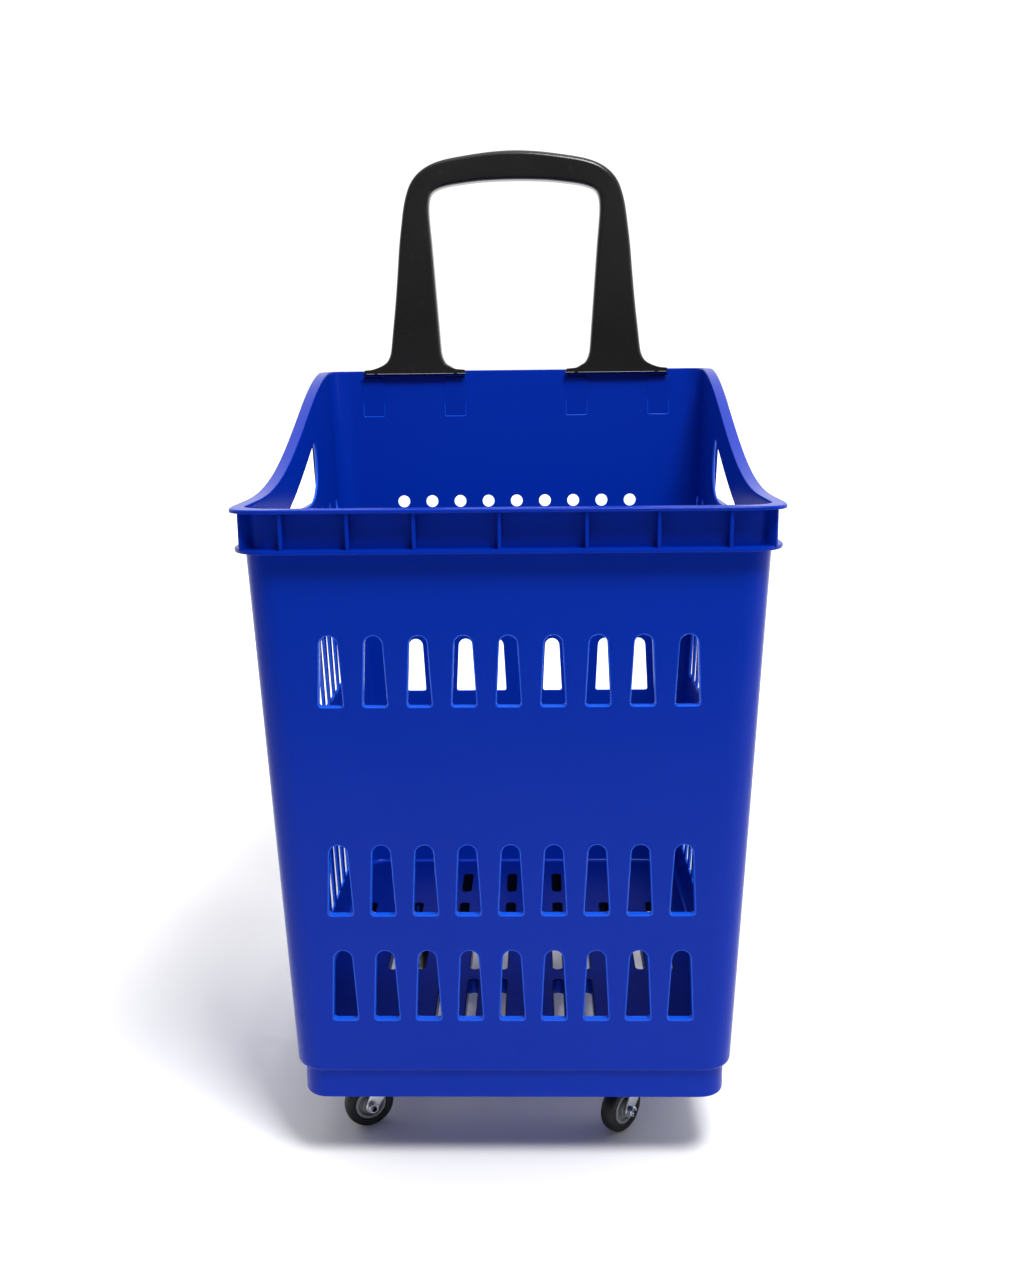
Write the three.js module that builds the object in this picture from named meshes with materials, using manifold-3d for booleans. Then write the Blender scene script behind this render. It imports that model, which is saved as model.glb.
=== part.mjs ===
// Rolling shopping basket: a moulded tub with a raised back, a U-shaped push handle and four swivel castors.
// Millimetres, +Z up, the low front wall faces -Y. The origin is on the ground under the basket's middle.
import * as THREE from 'three';
import { mergeVertices } from 'three/addons/utils/BufferGeometryUtils.js';
import Module from 'manifold-3d';

const wasm = await Module();
wasm.setup();

// Tub: the walls lean out by DRAFT mm for each mm of height.
const DRAFT = 0.041;
const WALL = 3;
const WALL_CORNER = 28;
const FRONT_RIM_Z = 636;
const BACK_RIM_Z = 750;
const HALF_WIDTH_AT_FRONT_RIM = 228.5;
const FRONT_WALL_Y_AT_FRONT_RIM = -278;
const BACK_WALL_Y_AT_FRONT_RIM = 273.3;
const BODY_BOTTOM_Z = 102.5;
const FLOOR_TOP_Z = 110;
const FLOOR_BOTTOM_Z = 106;
const OVER = 770;
const PAST = 320;

// Rim: level over the front, then an S-shaped sweep up each side to the level back.
const SWEEP_START_Y = -200;
const SWEEP_END_Y = 277.3;
const SWEEP_SKEW = 1.15;
const SWEEP_STEPS = 16;
const RIM_REACH = [9, 12];
const RIM_THICK = 3.6;
const LOWER_FLANGE_Z = 597.6;
const LOWER_FLANGE_TOP_Z = 601.6;
const LOWER_FLANGE_REACH = [9, 11];
const LOWER_FLANGE_CORNER = 38;
const RIB_THICK = 3.2;
const FRONT_RIB_REACH = 9.5;
const SIDE_RIB_REACH = 7;
const CORNER_RIB_REACH = 11;
const FRONT_RIBS_X = [-189.5, -133.5, -77.5, -6, 67, 127, 187];
const BACK_RIBS_X = [-128, 0, 128];
const SIDE_RIBS_Y = [-165, -95, 150, 215];
const BURY = 1;

// Plinth under the body.
const PLINTH_HALF_WIDTH = 200;
const PLINTH_FRONT_Y = -252.6;
const PLINTH_BACK_Y = 247.6;
const PLINTH_CORNER = 24;
const PLINTH_BOTTOM_Z = 74;

// Rows of slots: bottom height, top height, width at the bottom and width of the round top.
const FRONT_SLOT_ROWS = [
  { bottom: 461.8, top: 525.4, wide: 21.2, narrow: 15.5 },
  { bottom: 263.3, top: 331.8, wide: 22.2, narrow: 16.1 },
  { bottom: 157.2, top: 227.8, wide: 22.7, narrow: 16.5 },
];
const BACK_SLOT_ROWS = [
  { bottom: 342, top: 410, wide: 24, narrow: 18 },
  { bottom: 247, top: 315, wide: 24, narrow: 18 },
  { bottom: 157.2, top: 227.8, wide: 24, narrow: 18 },
];
const SIDE_SLOT_ROWS = [
  { bottom: 375.7, top: 455, wide: 22.2, narrow: 16.1 },
  { bottom: 263.3, top: 331.8, wide: 22.2, narrow: 16.1 },
  { bottom: 157.2, top: 227.8, wide: 22.7, narrow: 16.5 },
];
const FRONT_SLOT_PITCH = 38.8;
const FRONT_SLOTS = 9;
const BACK_SLOT_X = [-132.6, -100.2, -67.8, -28, 44.2, 76.5, 112.6, 155.3];
const SLOT_ARC_STEPS = 3;
const BACK_HOLE_PITCH = 35.8;
const BACK_HOLES = 9;
const ROUND_HOLE_Z = 587.7;
const ROUND_HOLE_RADIUS = 7.4;
const ROUND_HOLE_STEPS = 5;
const SIDE_SLOT_PITCH = 34;
const SIDE_SLOT_SHIFT = 8;
const SIDE_SLOTS = 12;
const SIDE_HOLES_Y = [132, 182, 232];

// Rows of floor windows: near and far edge, depth of the web under the floor, and how many at what pitch.
const WINDOW_HALF = 5.3;
const WINDOW_WEB = 2.4;
const FLOOR_WINDOW_ROWS = [
  { near: -171, far: -86, web: 12, count: 6, pitch: 30.1, shift: 0 },
  { near: -62, far: 23, web: 12, count: 12, pitch: 30.1, shift: 0 },
  { near: 57, far: 113, web: 8, count: 7, pitch: 56.5, shift: -9 },
  { near: 147, far: 203, web: 24, count: 3, pitch: 56.5, shift: -9 },
];

// Push handle.
const HANDLE_FRONT_Y = 264;
const HANDLE_BACK_Y = 290;
const FOOT_OUTER_X = 188;
const FOOT_INNER_X = 62.7;
const FOOT_BOTTOM_Z = 746.7;
const FOOT_EDGE = 4.3;
const SEAT_GAP = 0.3;
const HANDLE_SCREW_X = [-176, -76, 76, 176];
const HANDLE_SCREW_Y = 284;
const SEAT_HOLE_RADIUS = 2.8;
const HANDLE_BORE_RADIUS = 2.6;
const HANDLE_BORE_TOP_Z = 751;

// Castors, each drawn about its own swivel axis, with the wheel trailing along local +X.
const WHEEL_RADIUS = 25;
const TRAIL = 27;
const CASTOR_X = 124;
const CASTOR_FRONT_Y = -169;
const CASTOR_REAR_Y = 164;
const MOUNT_Z = 75.5;
const GAP = 0.3;
const PLATE_HALF = 26;
const PLATE_THICK = 2.5;
const PLATE_SCREW = 19;
const CASTORS = [
  { name: 'front_left', x: -CASTOR_X, y: CASTOR_FRONT_Y, turn: 205 },
  { name: 'front_right', x: CASTOR_X, y: CASTOR_FRONT_Y, turn: 228 },
  { name: 'rear_left', x: -CASTOR_X, y: CASTOR_REAR_Y, turn: 283 },
  { name: 'rear_right', x: CASTOR_X, y: CASTOR_REAR_Y, turn: 250 },
];

const finish = (color, roughness, metalness) => () =>
  new THREE.MeshStandardMaterial({ color, roughness, metalness });
const bluePlastic = finish(0x0a2fa0, 0.35, 0);
const blackPlastic = finish(0x1c1c1e, 0.45, 0);
const tyreRubber = finish(0x141515, 0.8, 0);
const hubGrey = finish(0x5c5f61, 0.5, 0);
const zincSteel = finish(0xb9bec4, 0.35, 1);

const group = new THREE.Group();

function toSolid(geometry) {
  const plain = geometry.index ? geometry.toNonIndexed() : geometry.clone();
  plain.deleteAttribute('normal');
  plain.deleteAttribute('uv');
  const merged = mergeVertices(plain, 1e-4);
  return new wasm.Manifold(new wasm.Mesh({
    numProp: 3,
    vertProperties: new Float32Array(merged.attributes.position.array),
    triVerts: new Uint32Array(merged.index.array),
  }));
}

function toGeometry(solid) {
  const mesh = solid.getMesh();
  const geometry = new THREE.BufferGeometry();
  geometry.setAttribute('position', new THREE.BufferAttribute(new Float32Array(mesh.vertProperties), 3));
  geometry.setIndex(new THREE.BufferAttribute(new Uint32Array(mesh.triVerts), 1));
  geometry.computeVertexNormals();
  return geometry;
}

function addMesh(parent, name, geometry, material) {
  const mesh = new THREE.Mesh(geometry, material());
  mesh.name = name;
  parent.add(mesh);
}

const joinAll = (solids) => solids.reduce((sum, solid) => sum.add(solid));
const range = (count) => Array.from({ length: count }, (_, index) => index);

// Solids for the tub.

function roundedRectangle(x0, x1, y0, y1, radius) {
  const shape = new THREE.Shape();
  shape.moveTo(x0 + radius, y0);
  shape.lineTo(x1 - radius, y0);
  shape.absarc(x1 - radius, y0 + radius, radius, -Math.PI / 2, 0);
  shape.lineTo(x1, y1 - radius);
  shape.absarc(x1 - radius, y1 - radius, radius, 0, Math.PI / 2);
  shape.lineTo(x0 + radius, y1);
  shape.absarc(x0 + radius, y1 - radius, radius, Math.PI / 2, Math.PI);
  shape.lineTo(x0, y0 + radius);
  shape.absarc(x0 + radius, y0 + radius, radius, Math.PI, Math.PI * 1.5);
  return shape;
}

function prism(shape, zLow, zHigh, curveSegments = 5) {
  const geometry = new THREE.ExtrudeGeometry(shape, {
    depth: zHigh - zLow,
    bevelEnabled: false,
    curveSegments,
  });
  geometry.translate(0, 0, zLow);
  return geometry;
}

function box(x0, x1, y0, y1, z0, z1) {
  const geometry = new THREE.BoxGeometry(x1 - x0, y1 - y0, z1 - z0);
  geometry.translate((x0 + x1) / 2, (y0 + y1) / 2, (z0 + z1) / 2);
  return toSolid(geometry);
}

// A drafted block that stands outside the tub's wall surface by a reach in X and one in Y.
function draftedBlock([reachX, reachY], radius, zLow, zHigh) {
  const shape = roundedRectangle(
    -HALF_WIDTH_AT_FRONT_RIM - reachX,
    HALF_WIDTH_AT_FRONT_RIM + reachX,
    FRONT_WALL_Y_AT_FRONT_RIM - reachY,
    BACK_WALL_Y_AT_FRONT_RIM + reachY,
    radius,
  );
  const geometry = prism(shape, zLow, zHigh);
  const position = geometry.attributes.position;
  for (let i = 0; i < position.count; i += 1) {
    const lean = DRAFT * (position.getZ(i) - FRONT_RIM_Z);
    position.setX(i, position.getX(i) + Math.sign(position.getX(i)) * lean);
    position.setY(i, position.getY(i) + Math.sign(position.getY(i)) * lean);
  }
  return toSolid(geometry);
}

const halfWidthAt = (z) => HALF_WIDTH_AT_FRONT_RIM + DRAFT * (z - FRONT_RIM_Z);
const frontWallAt = (z) => FRONT_WALL_Y_AT_FRONT_RIM - DRAFT * (z - FRONT_RIM_Z);
const backWallAt = (z) => BACK_WALL_Y_AT_FRONT_RIM + DRAFT * (z - FRONT_RIM_Z);

function rimHeight(y) {
  const along = THREE.MathUtils.clamp((y - SWEEP_START_Y) / (SWEEP_END_Y - SWEEP_START_Y), 0, 1);
  const t = along ** SWEEP_SKEW;
  return FRONT_RIM_Z + (BACK_RIM_Z - FRONT_RIM_Z) * t * t * (3 - 2 * t);
}

// An outline drawn in (y, z) and pushed along X.
function alongX(shape, xLow, xHigh, curveSegments) {
  const geometry = prism(shape, xLow, xHigh, curveSegments);
  const axes = new THREE.Matrix4().makeBasis(
    new THREE.Vector3(0, 1, 0),
    new THREE.Vector3(0, 0, 1),
    new THREE.Vector3(1, 0, 0),
  );
  geometry.applyMatrix4(axes);
  return toSolid(geometry);
}

// An outline drawn in (x, z) and pushed along Y.
function alongY(shape, yLow, yHigh, curveSegments) {
  const geometry = prism(shape, -yHigh, -yLow, curveSegments);
  geometry.rotateX(Math.PI / 2);
  return toSolid(geometry);
}

function sweepPoints(drop) {
  const step = (SWEEP_END_Y - SWEEP_START_Y) / SWEEP_STEPS;
  const points = range(SWEEP_STEPS + 1).map((index) => {
    const y = SWEEP_START_Y + index * step;
    return new THREE.Vector2(y, rimHeight(y) - drop);
  });
  points.unshift(new THREE.Vector2(-PAST, FRONT_RIM_Z - drop));
  points.push(new THREE.Vector2(PAST, BACK_RIM_Z - drop));
  return points;
}

function spaceAboveRim() {
  const points = sweepPoints(0);
  points.push(new THREE.Vector2(PAST, OVER + 10), new THREE.Vector2(-PAST, OVER + 10));
  return alongX(new THREE.Shape(points), -PAST, PAST);
}

function rimSlab() {
  const points = sweepPoints(0).concat(sweepPoints(RIM_THICK).reverse());
  return alongX(new THREE.Shape(points), -PAST, PAST);
}

function slotShape(centre, row) {
  const side = row.wide / 2;
  const cap = row.narrow / 2;
  const shape = new THREE.Shape();
  shape.moveTo(centre - side, row.bottom);
  shape.lineTo(centre + side, row.bottom);
  shape.lineTo(centre + cap, row.top - cap);
  shape.absarc(centre, row.top - cap, cap, 0, Math.PI);
  return shape;
}

function roundShape(centre, height, radius) {
  const shape = new THREE.Shape();
  shape.absarc(centre, height, radius, 0, Math.PI * 2);
  return shape;
}

const centres = (count, pitch) => range(count).map((index) => (index - (count - 1) / 2) * pitch);

const CUT_FROM_Y = 235;

function wallCutters() {
  const cutters = [];
  for (const row of FRONT_SLOT_ROWS) {
    for (const x of centres(FRONT_SLOTS, FRONT_SLOT_PITCH)) {
      cutters.push(alongY(slotShape(x, row), -PAST, -CUT_FROM_Y, SLOT_ARC_STEPS));
    }
  }
  for (const row of BACK_SLOT_ROWS) {
    for (const x of BACK_SLOT_X) {
      cutters.push(alongY(slotShape(x, row), CUT_FROM_Y, PAST, SLOT_ARC_STEPS));
    }
  }
  for (const row of SIDE_SLOT_ROWS) {
    for (const y of centres(SIDE_SLOTS, SIDE_SLOT_PITCH)) {
      cutters.push(alongX(slotShape(y + SIDE_SLOT_SHIFT, row), -PAST, PAST, SLOT_ARC_STEPS));
    }
  }
  for (const x of centres(BACK_HOLES, BACK_HOLE_PITCH)) {
    cutters.push(alongY(roundShape(x, ROUND_HOLE_Z, ROUND_HOLE_RADIUS), CUT_FROM_Y, PAST, ROUND_HOLE_STEPS));
  }
  for (const y of SIDE_HOLES_Y) {
    cutters.push(alongX(roundShape(y, ROUND_HOLE_Z, ROUND_HOLE_RADIUS), -PAST, PAST, ROUND_HOLE_STEPS));
  }
  return cutters;
}

// The hand-hold runs parallel to the swept rim and ends in a round rear edge.
const HAND_HOLD = { floor: 604.5, below: 41, frontY: -66, floorEndY: 52, rearY: 121, rearZ: 652, topY: 100 };
const HAND_HOLD_TOP_Y = [65, 30, -5, -35];

function handHoldShape() {
  const { floor, below, frontY, floorEndY, rearY, rearZ, topY } = HAND_HOLD;
  const shape = new THREE.Shape();
  shape.moveTo(frontY, floor);
  shape.lineTo(floorEndY, floor);
  shape.quadraticCurveTo(rearY - 3, floor + 1.5, rearY, rearZ);
  shape.quadraticCurveTo(rearY, rearZ + 25, topY, rimHeight(topY) - below);
  for (const y of HAND_HOLD_TOP_Y) {
    shape.lineTo(y, rimHeight(y) - below);
  }
  shape.quadraticCurveTo(frontY - 8, floor + 4.5, frontY, floor);
  return shape;
}

function ribs() {
  const solids = [];
  const low = LOWER_FLANGE_Z + BURY;
  const half = RIB_THICK / 2;
  for (const x of FRONT_RIBS_X) {
    const wall = frontWallAt(low);
    solids.push(box(x - half, x + half, wall - FRONT_RIB_REACH, wall + BURY, low, FRONT_RIM_Z - BURY));
  }
  for (const x of BACK_RIBS_X) {
    const wall = backWallAt(low);
    solids.push(box(x - half, x + half, wall - BURY, wall + FRONT_RIB_REACH, low, BACK_RIM_Z - BURY));
  }
  for (const y of SIDE_RIBS_Y) {
    const wall = halfWidthAt(low);
    const top = rimHeight(y) - 2 * BURY;
    solids.push(box(wall - BURY, wall + SIDE_RIB_REACH, y - half, y + half, low, top));
    solids.push(box(-wall - SIDE_RIB_REACH, -wall + BURY, y - half, y + half, low, top));
  }
  solids.push(cornerRib(-1, low), cornerRib(1, low));
  return solids;
}

// A rib on the diagonal of a front corner, between the two flanges.
function cornerRib(side, low) {
  const height = FRONT_RIM_Z - BURY - low;
  const geometry = new THREE.BoxGeometry(CORNER_RIB_REACH + BURY, RIB_THICK, height);
  const toMiddle = WALL_CORNER + (CORNER_RIB_REACH - BURY) / 2;
  geometry.translate(toMiddle, 0, low + height / 2);
  geometry.rotateZ(side > 0 ? -Math.PI / 4 : Math.PI * 1.25);
  geometry.translate(side * (halfWidthAt(low) - WALL_CORNER), frontWallAt(low) + WALL_CORNER, 0);
  return toSolid(geometry);
}

// Thickened seats behind the back wall: one pad under each handle foot and a boss behind each pocket.
const SEAT_FLOOR_Z = FOOT_BOTTOM_Z - SEAT_GAP;
const SEAT_UNDER_Z = 740.5;
const SEAT_MARGIN = 2;
const POCKET_X = [-178, -76, 76, 178];
const POCKET_BOTTOM_Z = 694.5;
const POCKET_HALF = 12.5;
const POCKET_BACK_Y = 277.6;
const POCKET_WALL = 1.6;
const BOSS_MARGIN = 2.5;
const SEAT_FROM_Y = 272;
const CUT_FROM_SEAT_Y = 262;

const footSpan = (margin) => [-1, 1].map((side) => [
  Math.min(side * (FOOT_INNER_X - margin), side * (FOOT_OUTER_X + margin)),
  Math.max(side * (FOOT_INNER_X - margin), side * (FOOT_OUTER_X + margin)),
]);

function handleSeats() {
  const solids = footSpan(SEAT_MARGIN).map(([x0, x1]) =>
    box(x0, x1, SEAT_FROM_Y + 2, HANDLE_BACK_Y - 0.2, SEAT_UNDER_Z, BACK_RIM_Z - BURY));
  const half = POCKET_HALF + BOSS_MARGIN;
  const back = POCKET_BACK_Y + POCKET_WALL;
  for (const x of POCKET_X) {
    solids.push(box(x - half, x + half, SEAT_FROM_Y, back, POCKET_BOTTOM_Z - 6, SEAT_UNDER_Z + 1.5));
  }
  return solids;
}

function handleSeatCutters() {
  const cutters = footSpan(SEAT_GAP).map(([x0, x1]) =>
    box(x0, x1, CUT_FROM_SEAT_Y, PAST, SEAT_FLOOR_Z, OVER));
  for (const x of POCKET_X) {
    const half = POCKET_HALF;
    cutters.push(box(x - half, x + half, CUT_FROM_SEAT_Y, POCKET_BACK_Y, POCKET_BOTTOM_Z, OVER));
  }
  for (const x of HANDLE_SCREW_X) {
    cutters.push(upright(x, HANDLE_SCREW_Y, SEAT_HOLE_RADIUS, SEAT_UNDER_Z - 10, OVER, 10));
  }
  return cutters;
}

function upright(x, y, radius, zLow, zHigh, sides) {
  const geometry = new THREE.CylinderGeometry(radius, radius, zHigh - zLow, sides);
  geometry.rotateX(Math.PI / 2);
  geometry.translate(x, y, (zLow + zHigh) / 2);
  return toSolid(geometry);
}

// Windows in the floor, left out over the castor bosses, each inside a web that hangs below the floor.
function floorBoxes(grow, zHigh, zLowOf) {
  return FLOOR_WINDOW_ROWS.flatMap((row) => centres(row.count, row.pitch).map((x) => box(
    x + row.shift - WINDOW_HALF - grow,
    x + row.shift + WINDOW_HALF + grow,
    row.near - grow,
    row.far + grow,
    zLowOf(row),
    zHigh,
  )));
}

const floorWebs = () => floorBoxes(WINDOW_WEB, FLOOR_BOTTOM_Z + BURY, (row) => FLOOR_BOTTOM_Z - row.web);
const floorWindows = () => floorBoxes(0, FLOOR_TOP_Z + BURY, () => PLINTH_BOTTOM_Z - BURY);

const BOSS_HALF = 30;
const BOSS_HOLE_RADIUS = 2.3;
const BOSS_HOLE_FROM_Z = 60;
const BOSS_HOLE_TOP_Z = 92;

function basket() {
  const outside = joinAll([
    draftedBlock([0, 0], WALL_CORNER, BODY_BOTTOM_Z, OVER),
    draftedBlock(RIM_REACH, WALL_CORNER, LOWER_FLANGE_Z, OVER).intersect(rimSlab()),
    draftedBlock(LOWER_FLANGE_REACH, LOWER_FLANGE_CORNER, LOWER_FLANGE_Z, LOWER_FLANGE_TOP_Z),
    toSolid(prism(
      roundedRectangle(-PLINTH_HALF_WIDTH, PLINTH_HALF_WIDTH, PLINTH_FRONT_Y, PLINTH_BACK_Y, PLINTH_CORNER),
      PLINTH_BOTTOM_Z,
      BODY_BOTTOM_Z + BURY,
    )),
    ...ribs(),
    ...handleSeats(),
  ]);
  const skirt = roundedRectangle(
    WALL - PLINTH_HALF_WIDTH,
    PLINTH_HALF_WIDTH - WALL,
    PLINTH_FRONT_Y + WALL,
    PLINTH_BACK_Y - WALL,
    PLINTH_CORNER - WALL,
  );
  const bosses = CASTORS.map(({ x, y }) =>
    box(x - BOSS_HALF, x + BOSS_HALF, y - BOSS_HALF, y + BOSS_HALF, MOUNT_Z, FLOOR_BOTTOM_Z + BURY));
  const screwHoles = CASTORS.flatMap(({ x, y }) =>
    screwPlaces().map(([dx, dy]) =>
      upright(x + dx, y + dy, BOSS_HOLE_RADIUS, BOSS_HOLE_FROM_Z, BOSS_HOLE_TOP_Z, 8)));
  const handHold = alongX(handHoldShape(), -PAST, PAST, 4);
  const removed = joinAll([
    spaceAboveRim(),
    draftedBlock([-WALL, -WALL], WALL_CORNER - WALL, FLOOR_TOP_Z, OVER + 10),
    toSolid(prism(skirt, PLINTH_BOTTOM_Z - BURY, FLOOR_BOTTOM_Z)),
    handHold,
    ...wallCutters(),
    ...handleSeatCutters(),
  ]);
  const underside = joinAll([...floorWebs(), ...bosses]);
  return outside.subtract(removed).add(underside).subtract(joinAll([...floorWindows(), ...screwHoles]));
}

// Push handle: an open U whose legs flare into two thin feet.

function handleShape() {
  const shape = new THREE.Shape();
  const footTop = FOOT_BOTTOM_Z + FOOT_EDGE;
  shape.moveTo(-FOOT_OUTER_X, FOOT_BOTTOM_Z);
  shape.lineTo(-FOOT_INNER_X, FOOT_BOTTOM_Z);
  shape.lineTo(-FOOT_INNER_X, footTop);
  shape.quadraticCurveTo(-89, 754, -92, 775);
  shape.lineTo(-103.6, 945);
  shape.quadraticCurveTo(-105, 964, -84, 967.5);
  shape.quadraticCurveTo(0, 980.5, 84, 967.5);
  shape.quadraticCurveTo(105, 964, 103.6, 945);
  shape.lineTo(92, 775);
  shape.quadraticCurveTo(89, 754, FOOT_INNER_X, footTop);
  shape.lineTo(FOOT_INNER_X, FOOT_BOTTOM_Z);
  shape.lineTo(FOOT_OUTER_X, FOOT_BOTTOM_Z);
  shape.lineTo(FOOT_OUTER_X, footTop);
  shape.quadraticCurveTo(158, 754, 154, 775);
  shape.lineTo(133.5, 950);
  shape.quadraticCurveTo(129, 990, 88, 998.5);
  shape.quadraticCurveTo(0, 1017.5, -88, 998.5);
  shape.quadraticCurveTo(-129, 990, -133.5, 950);
  shape.lineTo(-154, 775);
  shape.quadraticCurveTo(-158, 754, -FOOT_OUTER_X, footTop);
  return shape;
}

function pushHandle() {
  const edge = 1.5;
  const geometry = new THREE.ExtrudeGeometry(handleShape(), {
    depth: HANDLE_BACK_Y - HANDLE_FRONT_Y - 2 * edge,
    bevelThickness: edge,
    bevelSize: edge,
    bevelOffset: -edge,
    bevelSegments: 1,
    curveSegments: 6,
  });
  geometry.translate(0, 0, -HANDLE_BACK_Y + edge);
  geometry.rotateX(Math.PI / 2);
  const bores = HANDLE_SCREW_X.map((x) =>
    upright(x, HANDLE_SCREW_Y, HANDLE_BORE_RADIUS, SEAT_UNDER_Z, HANDLE_BORE_TOP_Z, 10));
  return toSolid(geometry).subtract(joinAll(bores));
}

// A pan-head screw standing on its head at z = 0, with the shank pointing up.
function panScrew(headRadius, headHeight, shankRadius, length) {
  const profile = [
    [0, 0],
    [headRadius, 0],
    [headRadius, headHeight],
    [shankRadius, headHeight],
    [shankRadius, headHeight + length],
    [0, headHeight + length],
  ];
  return turned(profile, 6);
}

// A lathe profile of [radius, height] pairs turned about +Z.
function turned(profile, segments) {
  const points = profile.map(([radius, height]) => new THREE.Vector2(radius, height));
  const geometry = new THREE.LatheGeometry(points, segments);
  geometry.rotateX(Math.PI / 2);
  return toSolid(geometry);
}

// Castor pieces.

function screwPlaces() {
  return [[-1, -1], [1, -1], [1, 1], [-1, 1]].map(([sx, sy]) => [sx * PLATE_SCREW, sy * PLATE_SCREW]);
}

const PLATE_TOP_Z = MOUNT_Z - GAP;
const PLATE_BOTTOM_Z = PLATE_TOP_Z - PLATE_THICK;
const RACE_BOTTOM_Z = PLATE_BOTTOM_Z - GAP - 5.2;
const FORK_TOP_Z = RACE_BOTTOM_Z - GAP;
const FORK_THICK = 2.5;
const PIN_HEAD_TOP_Z = FORK_TOP_Z - FORK_THICK - GAP;
const PIN_RADIUS = 4.1;
const LEG_INNER = 10;
const LEG_THICK = 2;
const AXLE_RADIUS = 3.1;
const BUSH_RADIUS = 4.9;
const HUB_BORE = 5.4;

function castorPlate() {
  const shape = roundedRectangle(-PLATE_HALF, PLATE_HALF, -PLATE_HALF, PLATE_HALF, 5);
  const holes = screwPlaces().map(([x, y]) => upright(x, y, 2.6, PLATE_BOTTOM_Z - 1, PLATE_TOP_Z + 1, 6));
  holes.push(upright(0, 0, PIN_RADIUS + 2 * GAP, PLATE_BOTTOM_Z - 1, PLATE_TOP_Z + 1, 10));
  return toSolid(prism(shape, PLATE_BOTTOM_Z, PLATE_TOP_Z, 1)).subtract(joinAll(holes));
}

function castorRace() {
  const top = PLATE_BOTTOM_Z - GAP;
  return turned([
    [9, RACE_BOTTOM_Z],
    [19, RACE_BOTTOM_Z],
    [17.6, top],
    [9, top],
    [9, RACE_BOTTOM_Z],
  ], 14);
}

function kingPin() {
  return turned([
    [0, PIN_HEAD_TOP_Z - 3.2],
    [7, PIN_HEAD_TOP_Z - 3.2],
    [8, PIN_HEAD_TOP_Z],
    [PIN_RADIUS, PIN_HEAD_TOP_Z],
    [PIN_RADIUS, PLATE_TOP_Z - 0.2],
    [0, PLATE_TOP_Z - 0.2],
  ], 10);
}

function forkLegShape() {
  const end = 6.8;
  const shape = new THREE.Shape();
  shape.moveTo(-12, FORK_TOP_Z);
  shape.lineTo(-12, FORK_TOP_Z - 9);
  shape.lineTo(TRAIL - end, WHEEL_RADIUS);
  shape.absarc(TRAIL, WHEEL_RADIUS, end, Math.PI, Math.PI * 2);
  shape.lineTo(14, FORK_TOP_Z);
  return shape;
}

function castorFork() {
  const disc = upright(0, 0, 17.5, FORK_TOP_Z - FORK_THICK, FORK_TOP_Z, 14);
  const outer = LEG_INNER + LEG_THICK;
  const solid = joinAll([
    disc,
    alongY(forkLegShape(), LEG_INNER, outer, 5),
    alongY(forkLegShape(), -outer, -LEG_INNER, 5),
  ]);
  return solid
    .subtract(upright(0, 0, PIN_RADIUS + 2 * GAP, 50, 80, 10))
    .subtract(alongY(roundShape(TRAIL, WHEEL_RADIUS, AXLE_RADIUS + 2 * GAP), -20, 20, 4));
}

// Turned pieces on the axle are drawn about +Z and then laid along local Y.
function onAxle(solid) {
  const geometry = toGeometry(solid);
  geometry.rotateX(-Math.PI / 2);
  geometry.translate(TRAIL, 0, WHEEL_RADIUS);
  return geometry;
}

function hexagon(radius, zLow, zHigh) {
  return upright(0, 0, radius, zLow, zHigh, 6);
}

const FACE = LEG_INNER + LEG_THICK + GAP;

function axleBolt() {
  return onAxle(hexagon(5.6, -FACE - 4, -FACE).add(upright(0, 0, AXLE_RADIUS, -FACE - 1, FACE + 6.4, 10)));
}

function axleNut() {
  const bore = upright(0, 0, AXLE_RADIUS + GAP, FACE - 1, FACE + 6, 10);
  return onAxle(hexagon(5.6, FACE, FACE + 4.4).subtract(bore));
}

function wheelBush() {
  const half = LEG_INNER - GAP;
  return onAxle(turned([
    [AXLE_RADIUS + GAP, -half],
    [BUSH_RADIUS, -half],
    [BUSH_RADIUS, half],
    [AXLE_RADIUS + GAP, half],
    [AXLE_RADIUS + GAP, -half],
  ], 10));
}

function mirrored(half) {
  return half.concat(half.slice().reverse().map(([radius, height]) => [radius, -height]));
}

function wheelHub() {
  const profile = mirrored([
    [HUB_BORE, 8.6],
    [8.4, 8.6],
    [8.8, 3.4],
    [12.2, 3.4],
    [12.8, 7],
    [16, 7],
  ].map(([radius, height]) => [radius, -height]));
  profile.push([HUB_BORE, -8.6]);
  return onAxle(turned(profile, 16));
}

function wheelTyre() {
  const profile = mirrored([
    [16.4, -7.8],
    [22, -8],
    [24.3, -5],
    [WHEEL_RADIUS, -1.8],
  ]);
  profile.push([16.4, -7.8]);
  return onAxle(turned(profile, 24));
}

function placedScrew(x, y, headBottomZ, sizes) {
  const geometry = toGeometry(panScrew(...sizes));
  geometry.translate(x, y, headBottomZ);
  return geometry;
}

addMesh(group, 'basket', toGeometry(basket()), bluePlastic);
addMesh(group, 'push_handle', toGeometry(pushHandle()), blackPlastic);

HANDLE_SCREW_X.forEach((x, index) => {
  const sizes = [4.4, 3, 2.3, 9];
  addMesh(group, `handle_screw_${index + 1}`, placedScrew(x, HANDLE_SCREW_Y, 737.2, sizes), zincSteel);
});

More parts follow.
